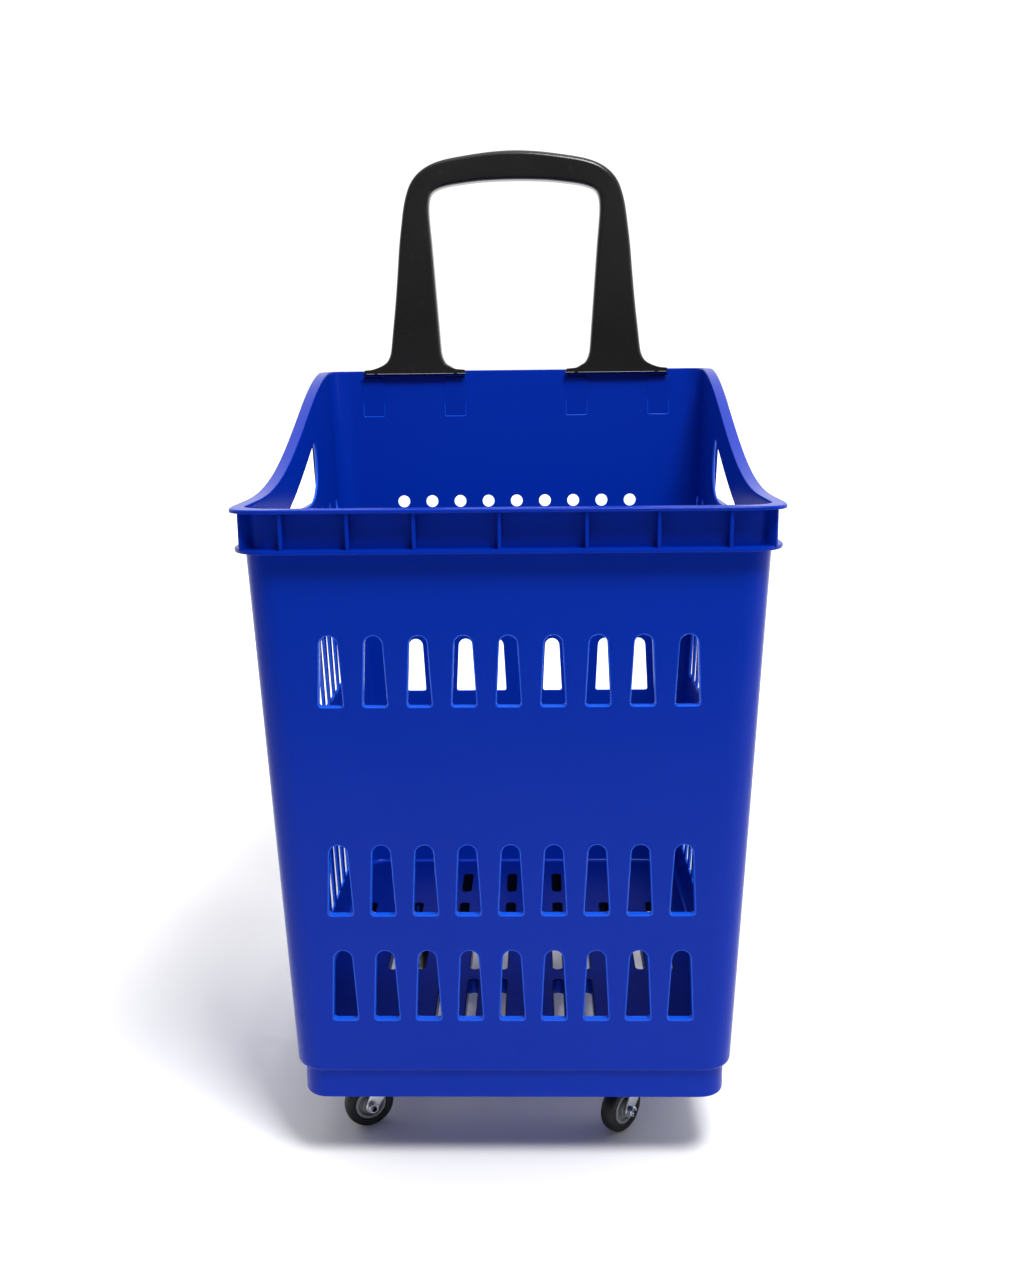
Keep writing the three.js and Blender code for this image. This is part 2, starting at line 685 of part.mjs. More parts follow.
for (const { name, x, y, turn } of CASTORS) {
  const castor = new THREE.Group();
  castor.position.set(x, y, 0);
  group.add(castor);
  addMesh(castor, `castor_${name}_plate`, toGeometry(castorPlate()), zincSteel);
  addMesh(castor, `castor_${name}_race`, toGeometry(castorRace()), zincSteel);
  addMesh(castor, `castor_${name}_king_pin`, toGeometry(kingPin()), zincSteel);
  screwPlaces().forEach(([dx, dy], index) => {
    const geometry = placedScrew(dx, dy, PLATE_BOTTOM_Z - GAP - 2.2, [4.2, 2.2, 2, 14]);
    addMesh(castor, `castor_${name}_plate_screw_${index + 1}`, geometry, zincSteel);
  });
  const swivel = new THREE.Group();
  swivel.rotation.z = THREE.MathUtils.degToRad(turn);
  castor.add(swivel);
  addMesh(swivel, `castor_${name}_fork`, toGeometry(castorFork()), zincSteel);
  addMesh(swivel, `castor_${name}_axle_bolt`, axleBolt(), zincSteel);
  addMesh(swivel, `castor_${name}_axle_nut`, axleNut(), zincSteel);
  addMesh(swivel, `castor_${name}_bush`, wheelBush(), hubGrey);
  addMesh(swivel, `castor_${name}_hub`, wheelHub(), hubGrey);
  addMesh(swivel, `castor_${name}_tyre`, wheelTyre(), tyreRubber);
}

export default group;
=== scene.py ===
import math

import bmesh
import bpy
from mathutils import Matrix, Vector
from mathutils.geometry import delaunay_2d_cdt


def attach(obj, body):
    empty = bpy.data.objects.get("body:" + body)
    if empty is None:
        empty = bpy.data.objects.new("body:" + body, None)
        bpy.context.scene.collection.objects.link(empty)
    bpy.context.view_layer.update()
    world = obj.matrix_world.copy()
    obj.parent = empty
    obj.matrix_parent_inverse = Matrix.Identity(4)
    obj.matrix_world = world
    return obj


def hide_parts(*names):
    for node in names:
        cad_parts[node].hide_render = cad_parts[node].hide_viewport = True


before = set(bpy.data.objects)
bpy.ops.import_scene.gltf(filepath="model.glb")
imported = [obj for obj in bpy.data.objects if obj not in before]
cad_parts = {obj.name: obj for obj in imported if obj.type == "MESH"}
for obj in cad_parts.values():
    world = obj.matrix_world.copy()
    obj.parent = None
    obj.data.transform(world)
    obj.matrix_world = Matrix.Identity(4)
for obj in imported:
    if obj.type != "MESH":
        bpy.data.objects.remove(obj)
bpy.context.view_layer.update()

# Sizes in millimetres; every mesh is scaled to metres when it is made.
MM = 0.001

# Tub: its walls lean out by DRAFT for each millimetre of height. HALF_WIDTH, FRONT_Y and BACK_Y hold at the
# height of the front rim.
DRAFT = 0.041
WALL = 3.0
CORNER = 28.0
CORNER_STEPS = 9
FRONT_RIM = 636.0
BACK_RIM = 750.0
HALF_WIDTH = 228.5
FRONT_Y = -278.0
BACK_Y = 273.3
WALL_LOW = 110.0
BODY_BOTTOM = 102.5
STEP = 4.5
FLOOR_TOP = 110.0
FLOOR_BOTTOM = 106.0
FLOOR_FILLET = 4.0
FILLET_TOP = FLOOR_TOP + FLOOR_FILLET
PLINTH_BOTTOM = 74.0
PLINTH = (200.0, -252.6, 247.6, 24.0)  # half width, front, back and corner radius

# Rim: level over the front, then swept up each side to the level back.
SWEEP_START = -200.0
SWEEP_END = 277.3
SWEEP_SKEW = 1.15
RIM_REACH = 12.0
SIDE_REACH = 9.0
RIM_THICK = 3.6
INNER_DROP = 2.6
OUTER_DROP = 1.4
SIDE_COUNT = 34

# Lower flange, and the upright ribs between it and the rim.
LOWER_FLANGE = 597.6
LOWER_FLANGE_THICK = 4.0
LOWER_REACH = 11.0
LOWER_CORNER = 38.0
RIB_HALF = 1.6
RIB_REACH = 9.5
SIDE_RIB_REACH = 7.0
CORNER_RIB_REACH = 11.0
RIB_LOW = LOWER_FLANGE + 2.5
BELOW_RIM = 1.4
FRONT_RIBS = (-189.5, -133.5, -77.5, -6.0, 67.0, 127.0, 187.0)
BACK_RIBS = (-128.0, 0.0, 128.0)
SIDE_RIBS = (-165.0, -95.0, 150.0, 215.0)

# Rows of slots: bottom, top, width at the bottom and width of the round top.
FRONT_ROWS = [
    (461.8, 525.4, 21.2, 15.5),
    (263.3, 331.8, 22.2, 16.1),
    (157.2, 227.8, 22.7, 16.5),
]
BACK_ROWS = [
    (342.0, 410.0, 24.0, 18.0),
    (247.0, 315.0, 24.0, 18.0),
    (157.2, 227.8, 24.0, 18.0),
]
SIDE_ROWS = [
    (375.7, 455.0, 22.2, 16.1),
    (263.3, 331.8, 22.2, 16.1),
    (157.2, 227.8, 22.7, 16.5),
]
FRONT_SLOTS = 9
FRONT_PITCH = 38.8
BACK_SLOT_X = [-132.6, -100.2, -67.8, -28.0, 44.2, 76.5, 112.6, 155.3]
SIDE_SLOTS = 12
SIDE_PITCH = 34.0
SIDE_SHIFT = 8.0

# Round holes, and the hand-holds under the swept rim.
BACK_HOLES = 9
BACK_PITCH = 35.8
SIDE_HOLES = [132.0, 182.0, 232.0]
HOLE_Z = 587.7
HOLE_RADIUS = 7.4
HOLE_STEPS = 20
HAND_FLOOR = 604.5
HAND_BELOW_RIM = 41.0

# Floor windows: near edge, far edge, depth of the web from the floor's top, count, pitch and shift.
WINDOW_HALF = 5.3
FLOOR_ROWS = [
    (-171.0, -86.0, 16.0, 6, 30.1, 0.0),
    (-62.0, 23.0, 16.0, 12, 30.1, 0.0),
    (57.0, 113.0, 12.0, 7, 56.5, -9.0),
    (147.0, 203.0, 28.0, 3, 56.5, -9.0),
]

# Seats of the handle in the back rim, and the screw pockets under them.
SEAT_X = (62.4, 188.3)
SEAT_TOP = 746.4
SEAT_BOTTOM = 740.5
SEAT_THICK = SEAT_TOP - SEAT_BOTTOM
POCKETS = (-178.0, -76.0, 76.0, 178.0)
POCKET_HALF = 12.5
POCKET_BOTTOM = 694.5
POCKET_TOP = 743.2
POCKET_FLOOR_Y = 277.6
BOSS_Y = (273.5, 279.2)

# Castors: name, place of the king pin, and the turn about it at rest in degrees.
CASTORS = [
    ("front_left", -124, -169, 205),
    ("front_right", 124, -169, 228),
    ("rear_left", -124, 164, 283),
    ("rear_right", 124, 164, 250),
]
TRAIL = 27.0
WHEEL_RADIUS = 25.0
PLATE = (72.7, 75.2)
PLATE_HALF = 26.0
PLATE_SCREW = 19.0
PLATE_SCREW_Z = 70.2
LEG_Y = (10.0, 12.0)
AXLE_BORE = 3.6

# Screws of the handle.
HANDLE_SCREW_X = (-176, -76, 76, 176)
HANDLE_SCREW_Y = 284
HANDLE_SCREW_Z = 737.2


def half_width(z):
    return HALF_WIDTH + DRAFT * (z - FRONT_RIM)


def front_y(z):
    return FRONT_Y - DRAFT * (z - FRONT_RIM)


def back_y(z):
    return BACK_Y + DRAFT * (z - FRONT_RIM)


def rim_height(y):
    t = min(max((y - SWEEP_START) / (SWEEP_END - SWEEP_START), 0.0), 1.0) ** SWEEP_SKEW
    return FRONT_RIM + (BACK_RIM - FRONT_RIM) * t * t * (3 - 2 * t)


# ---------------------------------------------------------------- mesh helpers


class Sheet:
    """Points and faces gathered for one mesh, in millimetres."""

    def __init__(self):
        self.points = []
        self.faces = []
        self.marks = []

    def add(self, points, faces, mark=0):
        start = len(self.points)
        self.points.extend(points)
        for face in faces:
            self.faces.append([start + i for i in face])
            self.marks.append(mark)

    def loft(self, rings, closed=True, mark=0):
        count = len(rings[0])
        points = [p for ring in rings for p in ring]
        faces = []
        for r in range(len(rings) - 1):
            for i in range(count if closed else count - 1):
                j = (i + 1) % count
                a, b = r * count + i, r * count + j
                faces.append([a, b, b + count, a + count])
        self.add(points, faces, mark)

    def cap(self, ring, mark=0):
        self.add(ring, [list(range(len(ring)))], mark)

    def placed(self, other, place):
        start = len(self.points)
        self.points.extend(place(p) for p in other.points)
        self.faces.extend([start + i for i in face] for face in other.faces)
        self.marks.extend(other.marks)


def build(name, sheet, materials, body, replaced=(), weld=0.02, smooth_angle=35):
    mesh = bpy.data.meshes.new(name)
    mesh.from_pydata([Vector(p) * MM for p in sheet.points], [], sheet.faces)
    for material in materials:
        mesh.materials.append(material)
    for polygon, mark in zip(mesh.polygons, sheet.marks):
        polygon.material_index = min(mark, len(materials) - 1)
    bm = bmesh.new()
    bm.from_mesh(mesh)
    bmesh.ops.remove_doubles(bm, verts=bm.verts, dist=weld * MM)
    bmesh.ops.dissolve_degenerate(bm, edges=bm.edges, dist=0.001 * MM)
    bmesh.ops.recalc_face_normals(bm, faces=bm.faces)
    limit = math.radians(smooth_angle)
    for edge in bm.edges:
        if len(edge.link_faces) == 2:
            edge.smooth = edge.calc_face_angle(0.0) < limit
    for face in bm.faces:
        face.smooth = True
    bm.to_mesh(mesh)
    bm.free()
    piece = bpy.data.objects.new(name, mesh)
    bpy.context.scene.collection.objects.link(piece)
    weighted = piece.modifiers.new("weighted", "WEIGHTED_NORMAL")
    weighted.keep_sharp = True
    weighted.weight = 60
    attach(piece, body)
    if replaced:
        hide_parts(*replaced)
    return piece


def arc(cx, cy, radius, start, end, steps):
    return [
        (
            cx + radius * math.cos(math.radians(start + (end - start) * i / steps)),
            cy + radius * math.sin(math.radians(start + (end - start) * i / steps)),
        )
        for i in range(steps + 1)
    ]


def grown(outline, amount):
    """A counter-clockwise outline moved outward by amount."""
    count = len(outline)
    moved = []
    for i in range(count):
        x0, y0 = outline[i - 1]
        x1, y1 = outline[i]
        x2, y2 = outline[(i + 1) % count]
        a = Vector((y1 - y0, x0 - x1)).normalized()
        b = Vector((y2 - y1, x1 - x2)).normalized()
        n = a + b
        n = n / max(n.length_squared / 2, 0.5)
        moved.append((x1 + n.x * amount, y1 + n.y * amount))
    return moved


def slot_outline(centre, row, rounding=2.4):
    bottom, top, wide, narrow = row
    side, cap = wide / 2 - rounding, narrow / 2
    low = bottom + rounding
    left = arc(centre - side, low, rounding, 180, 270, 3)
    right = arc(centre + side, low, rounding, 270, 360, 3)
    return left + right + arc(centre, top - cap, cap, 0, 180, 12)


def rounded_rectangle(x0, x1, y0, y1, radius, steps=4):
    return (
        arc(x0 + radius, y0 + radius, radius, 180, 270, steps)
        + arc(x1 - radius, y0 + radius, radius, 270, 360, steps)
        + arc(x1 - radius, y1 - radius, radius, 0, 90, steps)
        + arc(x0 + radius, y1 - radius, radius, 90, 180, steps)
    )


def quadratic(p0, p1, p2, steps):
    points = []
    for i in range(1, steps + 1):
        t = i / steps
        weights = ((1 - t) ** 2, 2 * t * (1 - t), t * t)
        points.append(tuple(sum(w * v for w, v in zip(weights, values)) for values in zip(p0, p1, p2)))
    return points


def inside(point, loop):
    x, y = point
    within = False
    for i, (x1, y1) in enumerate(loop):
        x0, y0 = loop[i - 1]
        if (y0 > y) != (y1 > y) and x < x0 + (y - y0) * (x1 - x0) / (y1 - y0):
            within = not within
    return within


def fill(sheet, outline, holes, place, mark=0):
    """Triangulates a flat outline less its holes and puts it in space."""
    points, edges = [], []
    for loop in [outline, *holes]:
        start = len(points)
        points.extend(Vector(p) for p in loop)
        edges.extend((start + i, start + (i + 1) % len(loop)) for i in range(len(loop)))
    made, _, faces, _, _, _ = delaunay_2d_cdt(points, edges, [], 1, 1e-4)
    kept = []
    for face in faces:
        middle = sum((made[i] for i in face), Vector((0, 0))) / len(face)
        if not any(inside(middle, hole) for hole in holes):
            kept.append(list(face))
    sheet.add([place(p.x, p.y) for p in made], kept, mark)


def centres(count, pitch):
    return [(i - (count - 1) / 2) * pitch for i in range(count)]


def round_hole(centre):
    return arc(centre, HOLE_Z, HOLE_RADIUS, 0, 360, HOLE_STEPS)[:-1]


# A moulded edge through the wall, as (growth of the outline, depth from the outer face).
EDGE = 1.1
COLLAR_DEPTH = 8.0
PLAIN_EDGE = [(EDGE, 0), (EDGE * 0.3, EDGE * 0.3), (0, EDGE), (0, WALL - 0.7), (0.2, WALL - 0.2), (0.7, WALL)]
COLLAR_EDGE = [
    (EDGE, 0), (EDGE * 0.3, EDGE * 0.3), (0, EDGE), (0, COLLAR_DEPTH - 0.6), (0.2, COLLAR_DEPTH - 0.15),
    (0.7, COLLAR_DEPTH), (1.5, COLLAR_DEPTH), (2.0, COLLAR_DEPTH - 0.4), (2.3, WALL + 0.8), (3.0, WALL),
]
THIN_EDGE = [(0.9, 0), (0.27, 0.27), (0, 0.9), (0, 1.3), (1.9, 2.8), (2.4, WALL)]
SOFT_EDGE = [(1.6, 0), (0.5, 0.5), (0, 1.5), (0, 1.6), (0.5, 2.6), (1.5, WALL)]

# The rounded lip of a screw pocket, as (growth of the outline, depth from the inner face).
POCKET_LIP = [(0.8, 0.0), (0.25, 0.25), (0.0, 0.8)]


def panel(sheet, outer, inner, holes, place, recesses=()):
    """Both skins of a wall with the moulded edges of its holes; recesses are left out of the inner skin."""
    fill(sheet, outer, [grown(o, edge[0][0]) for o, edge in holes], lambda u, z: place(u, z, 0))
    inner_holes = [grown(o, edge[-1][0]) for o, edge in holes] + list(recesses)
    fill(sheet, inner, inner_holes, lambda u, z: place(u, z, WALL))
    for outline, edge in holes:
        rings = [[place(u, z, depth) for u, z in grown(outline, growth)] for growth, depth in edge]
        # The moulded edges take the lighter blue as painted highlight.
        sheet.loft(rings, mark=HIGHLIGHT_MARK)


# ---------------------------------------------------------------- materials


def material(name, color, roughness, wear, bump, grain=900.0, metallic=0.0, specular=0.5):
    """A procedural finish: slow colour variation, blotchy roughness, a fine grain and faint scuffs."""
    made = bpy.data.materials.new(name)
    made.use_nodes = True
    nodes, links = made.node_tree.nodes, made.node_tree.links
    shader = nodes["Principled BSDF"]
    place = nodes.new("ShaderNodeTexCoord")

    cloud = nodes.new("ShaderNodeTexNoise")
    cloud.inputs["Scale"].default_value = 7.0
    cloud.inputs["Detail"].default_value = 4.0
    links.new(place.outputs["Object"], cloud.inputs["Vector"])
    ramp = nodes.new("ShaderNodeValToRGB")
    low = [c * (1 - 0.12 * wear) for c in color] + [1.0]
    high = [min(c * (1 + 0.12 * wear) + 0.004 * wear, 1.0) for c in color] + [1.0]
    ramp.color_ramp.elements[0].position = 0.3
    ramp.color_ramp.elements[0].color = low
    ramp.color_ramp.elements[1].position = 0.7
    ramp.color_ramp.elements[1].color = high
    links.new(cloud.outputs["Fac"], ramp.inputs["Fac"])

    scuff = nodes.new("ShaderNodeTexNoise")
    scuff.inputs["Scale"].default_value = 70.0
    scuff.inputs["Detail"].default_value = 8.0
    scuff.inputs["Roughness"].default_value = 0.7
    links.new(place.outputs["Object"], scuff.inputs["Vector"])
    marks = nodes.new("ShaderNodeMapRange")
    marks.inputs["From Min"].default_value = 0.62
    marks.inputs["From Max"].default_value = 0.8
    marks.inputs["To Min"].default_value = 0.0
    marks.inputs["To Max"].default_value = 0.5 * wear
    links.new(scuff.outputs["Fac"], marks.inputs["Value"])
    mix = nodes.new("ShaderNodeMix")
    mix.data_type = "RGBA"
    mix.inputs[7].default_value = [min(c * 1.6 + 0.03, 1.0) for c in color] + [1.0]
    links.new(marks.outputs["Result"], mix.inputs[0])
    links.new(ramp.outputs["Color"], mix.inputs[6])
    links.new(mix.outputs[2], shader.inputs["Base Color"])

    rough = nodes.new("ShaderNodeMapRange")
    rough.inputs["To Min"].default_value = roughness * 0.9
    rough.inputs["To Max"].default_value = min(roughness * 1.15, 1.0)
    links.new(scuff.outputs["Fac"], rough.inputs["Value"])
    links.new(rough.outputs["Result"], shader.inputs["Roughness"])

    fine = nodes.new("ShaderNodeTexNoise")
    fine.inputs["Scale"].default_value = grain
    fine.inputs["Detail"].default_value = 2.0
    links.new(place.outputs["Object"], fine.inputs["Vector"])
    relief = nodes.new("ShaderNodeBump")
    relief.inputs["Strength"].default_value = bump
    relief.inputs["Distance"].default_value = 0.0005
    links.new(fine.outputs["Fac"], relief.inputs["Height"])
    links.new(relief.outputs["Normal"], shader.inputs["Normal"])

    shader.inputs["Metallic"].default_value = metallic
    shader.inputs["Specular IOR Level"].default_value = specular
    return made


BLUE = material("blue_plastic", (0.0, 0.024, 0.36), 0.24, 0.08, 0.02, specular=0.1)
# A darker, rougher copy of the blue plastic for the top of the tub's floor: painted shade.
BLUE_FLOOR_SHADE = material("blue_plastic_floor_painted_shade", (0.0, 0.009, 0.17), 0.45, 0.1, 0.04, specular=0.05)
# A lighter, glossier copy of the blue plastic for the moulded edges of openings and the pocket lips: painted
# highlight.
BLUE_HIGHLIGHT = material("blue_plastic_painted_highlight", (0.001, 0.085, 0.68), 0.25, 0.2, 0.02, specular=0.3)
# A near-black copy of the blue plastic for the webs under the floor windows: painted shade.
BLUE_PAINTED_SHADE = material("blue_plastic_painted_shade", (0.0, 0.001, 0.012), 0.5, 0.2, 0.02, specular=0.05)
BLACK = material("black_plastic", (0.009, 0.009, 0.009), 0.24, 0.9, 0.05, 1400, specular=0.35)
RUBBER = material("tyre_rubber", (0.006, 0.0065, 0.0065), 0.45, 0.3, 0.1, 1800, specular=0.3)
GREY = material("hub_grey", (0.2, 0.21, 0.22), 0.42, 0.6, 0.06, 1200)
ZINC = material("zinc_steel", (0.62, 0.64, 0.67), 0.3, 0.5, 0.06, 700, metallic=1.0)
DARK_ZINC = material("zinc_steel_dull", (0.2, 0.2, 0.205), 0.45, 0.6, 0.06, 700, metallic=1.0)

# The tub's finishes by mark: walls, edges of openings in a lighter blue as painted highlight, deep webs in
# near-black as painted shade, and the floor's top in a darker blue as painted shade.
TUB_FINISHES_AND_PAINTED_LIGHT = [BLUE, BLUE_HIGHLIGHT, BLUE_PAINTED_SHADE, BLUE_FLOOR_SHADE]
HIGHLIGHT_MARK, SHADE_MARK, FLOOR_SHADE_MARK = 1, 2, 3


# ---------------------------------------------------------------- plan rings of the tub


def plan_ring(half, front, back, radius, steps=CORNER_STEPS):
    """Corner arcs of a plan outline, starting at the front left and going round with +Z up."""
    return rounded_rectangle(-half, half, front, back, radius, steps)


def wall_ring(z, depth=0.0):
    return [
        (x, y, z)
        for x, y in plan_ring(half_width(z) - depth, front_y(z) + depth, back_y(z) - depth, CORNER - depth)
    ]


def flange_ring(z, reach_x, reach_y, radius):
    ring = plan_ring(half_width(z) + reach_x, front_y(z) - reach_y, back_y(z) + reach_y, radius)
    return [(x, y, z) for x, y in ring]


def between(a, b, t):
    return tuple(p + (q - p) * t for p, q in zip(a, b))


# ---------------------------------------------------------------- rim path

SIDE_LOW = front_y(FRONT_RIM) + CORNER
SIDE_HIGH = back_y(BACK_RIM) - CORNER
SIDE_STEPS = [SIDE_LOW + (SIDE_HIGH - SIDE_LOW) * i / SIDE_COUNT for i in range(SIDE_COUNT + 1)]


def corner_station(sx, sy, angle):
    """A station on a plan corner: (wall point, outward normal, flange edge, top height, thickness)."""
    level = FRONT_RIM if sy < 0 else BACK_RIM
    half = half_width(level) - CORNER
    middle = front_y(level) + CORNER if sy < 0 else back_y(level) - CORNER
    c, s = math.cos(math.radians(angle)), math.sin(math.radians(angle))
    wall = (sx * half + CORNER * c, middle + CORNER * s)
    reach_x = SIDE_REACH * min(1.0, abs(c) * 2.2)
    reach_y = RIM_REACH * min(1.0, abs(s) * 2.2)
    edge = (wall[0] + sx * reach_x, wall[1] + sy * reach_y)
    return wall, (c, s), edge, rim_height(wall[1]), RIM_THICK


def side_station(side, y):
    z = rim_height(y)
    half = half_width(z)
    return (side * half, y), (side, 0), (side * (half + SIDE_REACH), y), z, RIM_THICK


def back_station(x, z, thick):
    y = back_y(BACK_RIM)
    return (x, y), (0, 1), (x, y + RIM_REACH), z, thick


BACK_STEPS = [
    (SEAT_X[1], BACK_RIM, RIM_THICK), (SEAT_X[1], SEAT_TOP, SEAT_THICK),
    (SEAT_X[0], SEAT_TOP, SEAT_THICK), (SEAT_X[0], BACK_RIM, RIM_THICK),
    (-SEAT_X[0], BACK_RIM, RIM_THICK), (-SEAT_X[0], SEAT_TOP, SEAT_THICK),
    (-SEAT_X[1], SEAT_TOP, SEAT_THICK), (-SEAT_X[1], BACK_RIM, RIM_THICK),
]


def corner_angles(start):
    return [start + 90 * i / CORNER_STEPS for i in range(CORNER_STEPS + 1)]


def rim_stations():
    stations = [corner_station(-1, -1, a) for a in corner_angles(180)]
    stations += [corner_station(1, -1, a) for a in corner_angles(270)]
    stations += [side_station(1, y) for y in SIDE_STEPS[1:-1]]
    stations += [corner_station(1, 1, a) for a in corner_angles(0)]
    stations += [back_station(*step) for step in BACK_STEPS]
    stations += [corner_station(-1, 1, a) for a in corner_angles(90)]
    stations += [side_station(-1, y) for y in reversed(SIDE_STEPS[1:-1])]
    return stations


def rim_profile(thick):
    """(offset from the outer wall face, drop below the rim top) round the flange."""
    return [
        (-WALL, INNER_DROP), (-WALL, 1.3), (-WALL + 0.35, 0.45), (-WALL + 1.2, 0.0), (4.0, 0.0),
        (RIM_REACH - 1.7, 0.0), (RIM_REACH - 0.9, 0.25), (RIM_REACH - 0.25, 0.9), (RIM_REACH, 1.7),
        (RIM_REACH, thick - 1.2), (RIM_REACH - 0.3, thick - 0.35), (RIM_REACH - 1.1, thick),
        (1.4, thick), (0.4, thick + 0.4), (0.0, thick + OUTER_DROP),
    ]


def rim_point(station, offset, drop):
    wall, normal, edge, top, _ = station
    z = top - drop
    if offset < 0:
        x, y = wall[0] + normal[0] * offset, wall[1] + normal[1] * offset
    else:
        x, y = between(wall, edge, offset / RIM_REACH)
    lean = DRAFT * -drop
    return x + normal[0] * lean, y + normal[1] * lean, z


def rim(sheet):
    stations = rim_stations()
    rings = [[rim_point(station, o, d) for o, d in rim_profile(station[4])] for station in stations]
    rings.append(rings[0])
    sheet.loft(rings, closed=False)
    return stations


# ---------------------------------------------------------------- tub


def skin_edge(stations, inner):
    """The wall's upper edge under the rim, station by station."""
    if inner:
        return [rim_point(s, -WALL, INNER_DROP) for s in stations]
    return [rim_point(s, 0.0, s[4] + OUTER_DROP) for s in stations]


def hand_hold_outline():
    """The opening under the swept rim, drawn in (y, z)."""
    points = [(-66.0, HAND_FLOOR), (52.0, HAND_FLOOR)]
    points += quadratic((52.0, HAND_FLOOR), (118.0, 606.0), (121.0, 652.0), 10)
    top = rim_height(100) - HAND_BELOW_RIM
    points += quadratic((121.0, 652.0), (121.0, 677.0), (100.0, top), 8)
    for i in range(1, 12):
        y = 100 - 135 * i / 11
        points.append((y, rim_height(y) - HAND_BELOW_RIM))
    points += quadratic(points[-1], (-74.0, 609.0), (-66.0, HAND_FLOOR), 8)[:-1]
    return points


def wall_outline(tops, low, axis):
    """One wall's outline in (x, z) or (y, z): its corners at the height low, and its upper edge."""
    top = [(p[axis], p[2]) for p in tops]
    if axis == 0:
        a = half_width(low) - CORNER
        ends = [(-a, low), (a, low)] if top[0][0] < top[-1][0] else [(a, low), (-a, low)]
    else:
        ends = [(front_y(low) + CORNER, low), (back_y(low) - CORNER, low)]
    return ends + list(reversed(top))


def wall_panels(sheet, stations):
    """The four flat walls, cut for slots, holes, hand-holds and pockets."""
    n = CORNER_STEPS + 1
    front = slice(n - 1, n + 1)
    right = slice(2 * n - 1, 2 * n + SIDE_COUNT)
    back_start = 3 * n + SIDE_COUNT - 2
    back = slice(back_start, back_start + len(BACK_STEPS) + 2)

    def skins(part, axis):
        outer = wall_outline(skin_edge(stations, False)[part], WALL_LOW, axis)
        inner = wall_outline(skin_edge(stations, True)[part], FILLET_TOP, axis)
        return outer, inner

    slots = [slot_outline(x, row) for row in FRONT_ROWS for x in centres(FRONT_SLOTS, FRONT_PITCH)]
    holes = [(slot, COLLAR_EDGE) for slot in slots]
    panel(sheet, *skins(front, 0), holes, lambda u, z, d: (u, front_y(z) + d, z))

    holes = [(slot_outline(x, row), PLAIN_EDGE) for row in BACK_ROWS for x in BACK_SLOT_X]
    holes += [(round_hole(x), PLAIN_EDGE) for x in centres(BACK_HOLES, BACK_PITCH)]
    pockets = [
        rounded_rectangle(x - POCKET_HALF, x + POCKET_HALF, POCKET_BOTTOM, POCKET_TOP, 1.2, 3) for x in POCKETS
    ]
    recesses = [grown(outline, POCKET_LIP[0][0]) for outline in pockets]
    panel(sheet, *skins(back, 0), holes, lambda u, z, d: (u, back_y(z) - d, z), recesses)
    for outline in pockets:
        pocket(sheet, outline)

    holes = []
    for row, edge in zip(SIDE_ROWS, (THIN_EDGE, PLAIN_EDGE, PLAIN_EDGE)):
        holes += [(slot_outline(y + SIDE_SHIFT, row), edge) for y in centres(SIDE_SLOTS, SIDE_PITCH)]
    holes += [(round_hole(y), PLAIN_EDGE) for y in SIDE_HOLES]
    holes.append((hand_hold_outline(), SOFT_EDGE))
    for side in (-1, 1):
        panel(sheet, *skins(right, 1), holes, lambda u, z, d, side=side: (side * (half_width(z) - d), u, z))


def pocket(sheet, outline):
    """A shallow recess in the inner face of the back wall with a sloped floor."""
    def sloped(amount, y, lift):
        return [
            (u, y, z + max(0.0, 1.0 - (z - POCKET_BOTTOM) / 4.0) * lift) for u, z in grown(outline, amount)
        ]

    lip = []
    for growth, depth in POCKET_LIP:
        lip.append([(u, back_y(z) - WALL + depth, z) for u, z in grown(outline, growth)])
    near = sloped(-0.15, POCKET_FLOOR_Y - 0.6, 3.4)
    deep = sloped(-0.6, POCKET_FLOOR_Y, 4.2)
    # The lip takes the lighter blue as painted highlight.
    sheet.loft(lip, mark=HIGHLIGHT_MARK)
    sheet.loft([lip[-1], near, deep])
    sheet.cap(deep)


def corner_strips(sheet, stations):
    """The four curved upright corners, outside and inside."""
    outer_top = skin_edge(stations, False)
    inner_top = skin_edge(stations, True)
    n = CORNER_STEPS + 1
    starts = [0, n, 2 * n + SIDE_COUNT - 1, 3 * n + SIDE_COUNT - 1 + len(BACK_STEPS)]
    for which, start in enumerate(starts):
        for tops, low, depth in ((outer_top, WALL_LOW, 0.0), (inner_top, FILLET_TOP, WALL)):
            upper = tops[start:start + n]
            ring = wall_ring(low, depth)[which * n:(which + 1) * n]
            levels = [ring]
            for t in (0.25, 0.5, 0.75):
                levels.append([between(a, b, t) for a, b in zip(ring, upper)])
            levels.append(upper)
            sheet.loft(levels, closed=False)


def plinth_ring(inset, z):
    half, front, back, corner = PLINTH
    return [(x, y, z) for x, y in plan_ring(half - inset, front + inset, back - inset, corner - inset)]


def lower_body(sheet):
    """From the foot of the walls round the step to the plinth, up inside it and under the floor."""
    base = wall_ring(BODY_BOTTOM + STEP)
    inner = plinth_ring(0.0, BODY_BOTTOM)
    rings = [wall_ring(WALL_LOW), base]
    for degrees in (22.5, 45, 67.5, 90):
        t = math.radians(degrees)
        slide = (1 - math.cos(t)) * 0.85
        z = BODY_BOTTOM + STEP * (1 - math.sin(t))
        rings.append([between(a, b, slide)[:2] + (z,) for a, b in zip(base, inner)])
    rings.append(plinth_ring(0.0, BODY_BOTTOM - 0.3))
    for inset, lift in ((0.0, 1.0), (0.3, 0.3), (1.0, 0.0), (2.2, 0.0), (2.8, 0.5), (WALL, 1.4)):
        rings.append(plinth_ring(inset, PLINTH_BOTTOM + lift))
    rings.append(plinth_ring(WALL, FLOOR_BOTTOM))
    sheet.loft(rings)


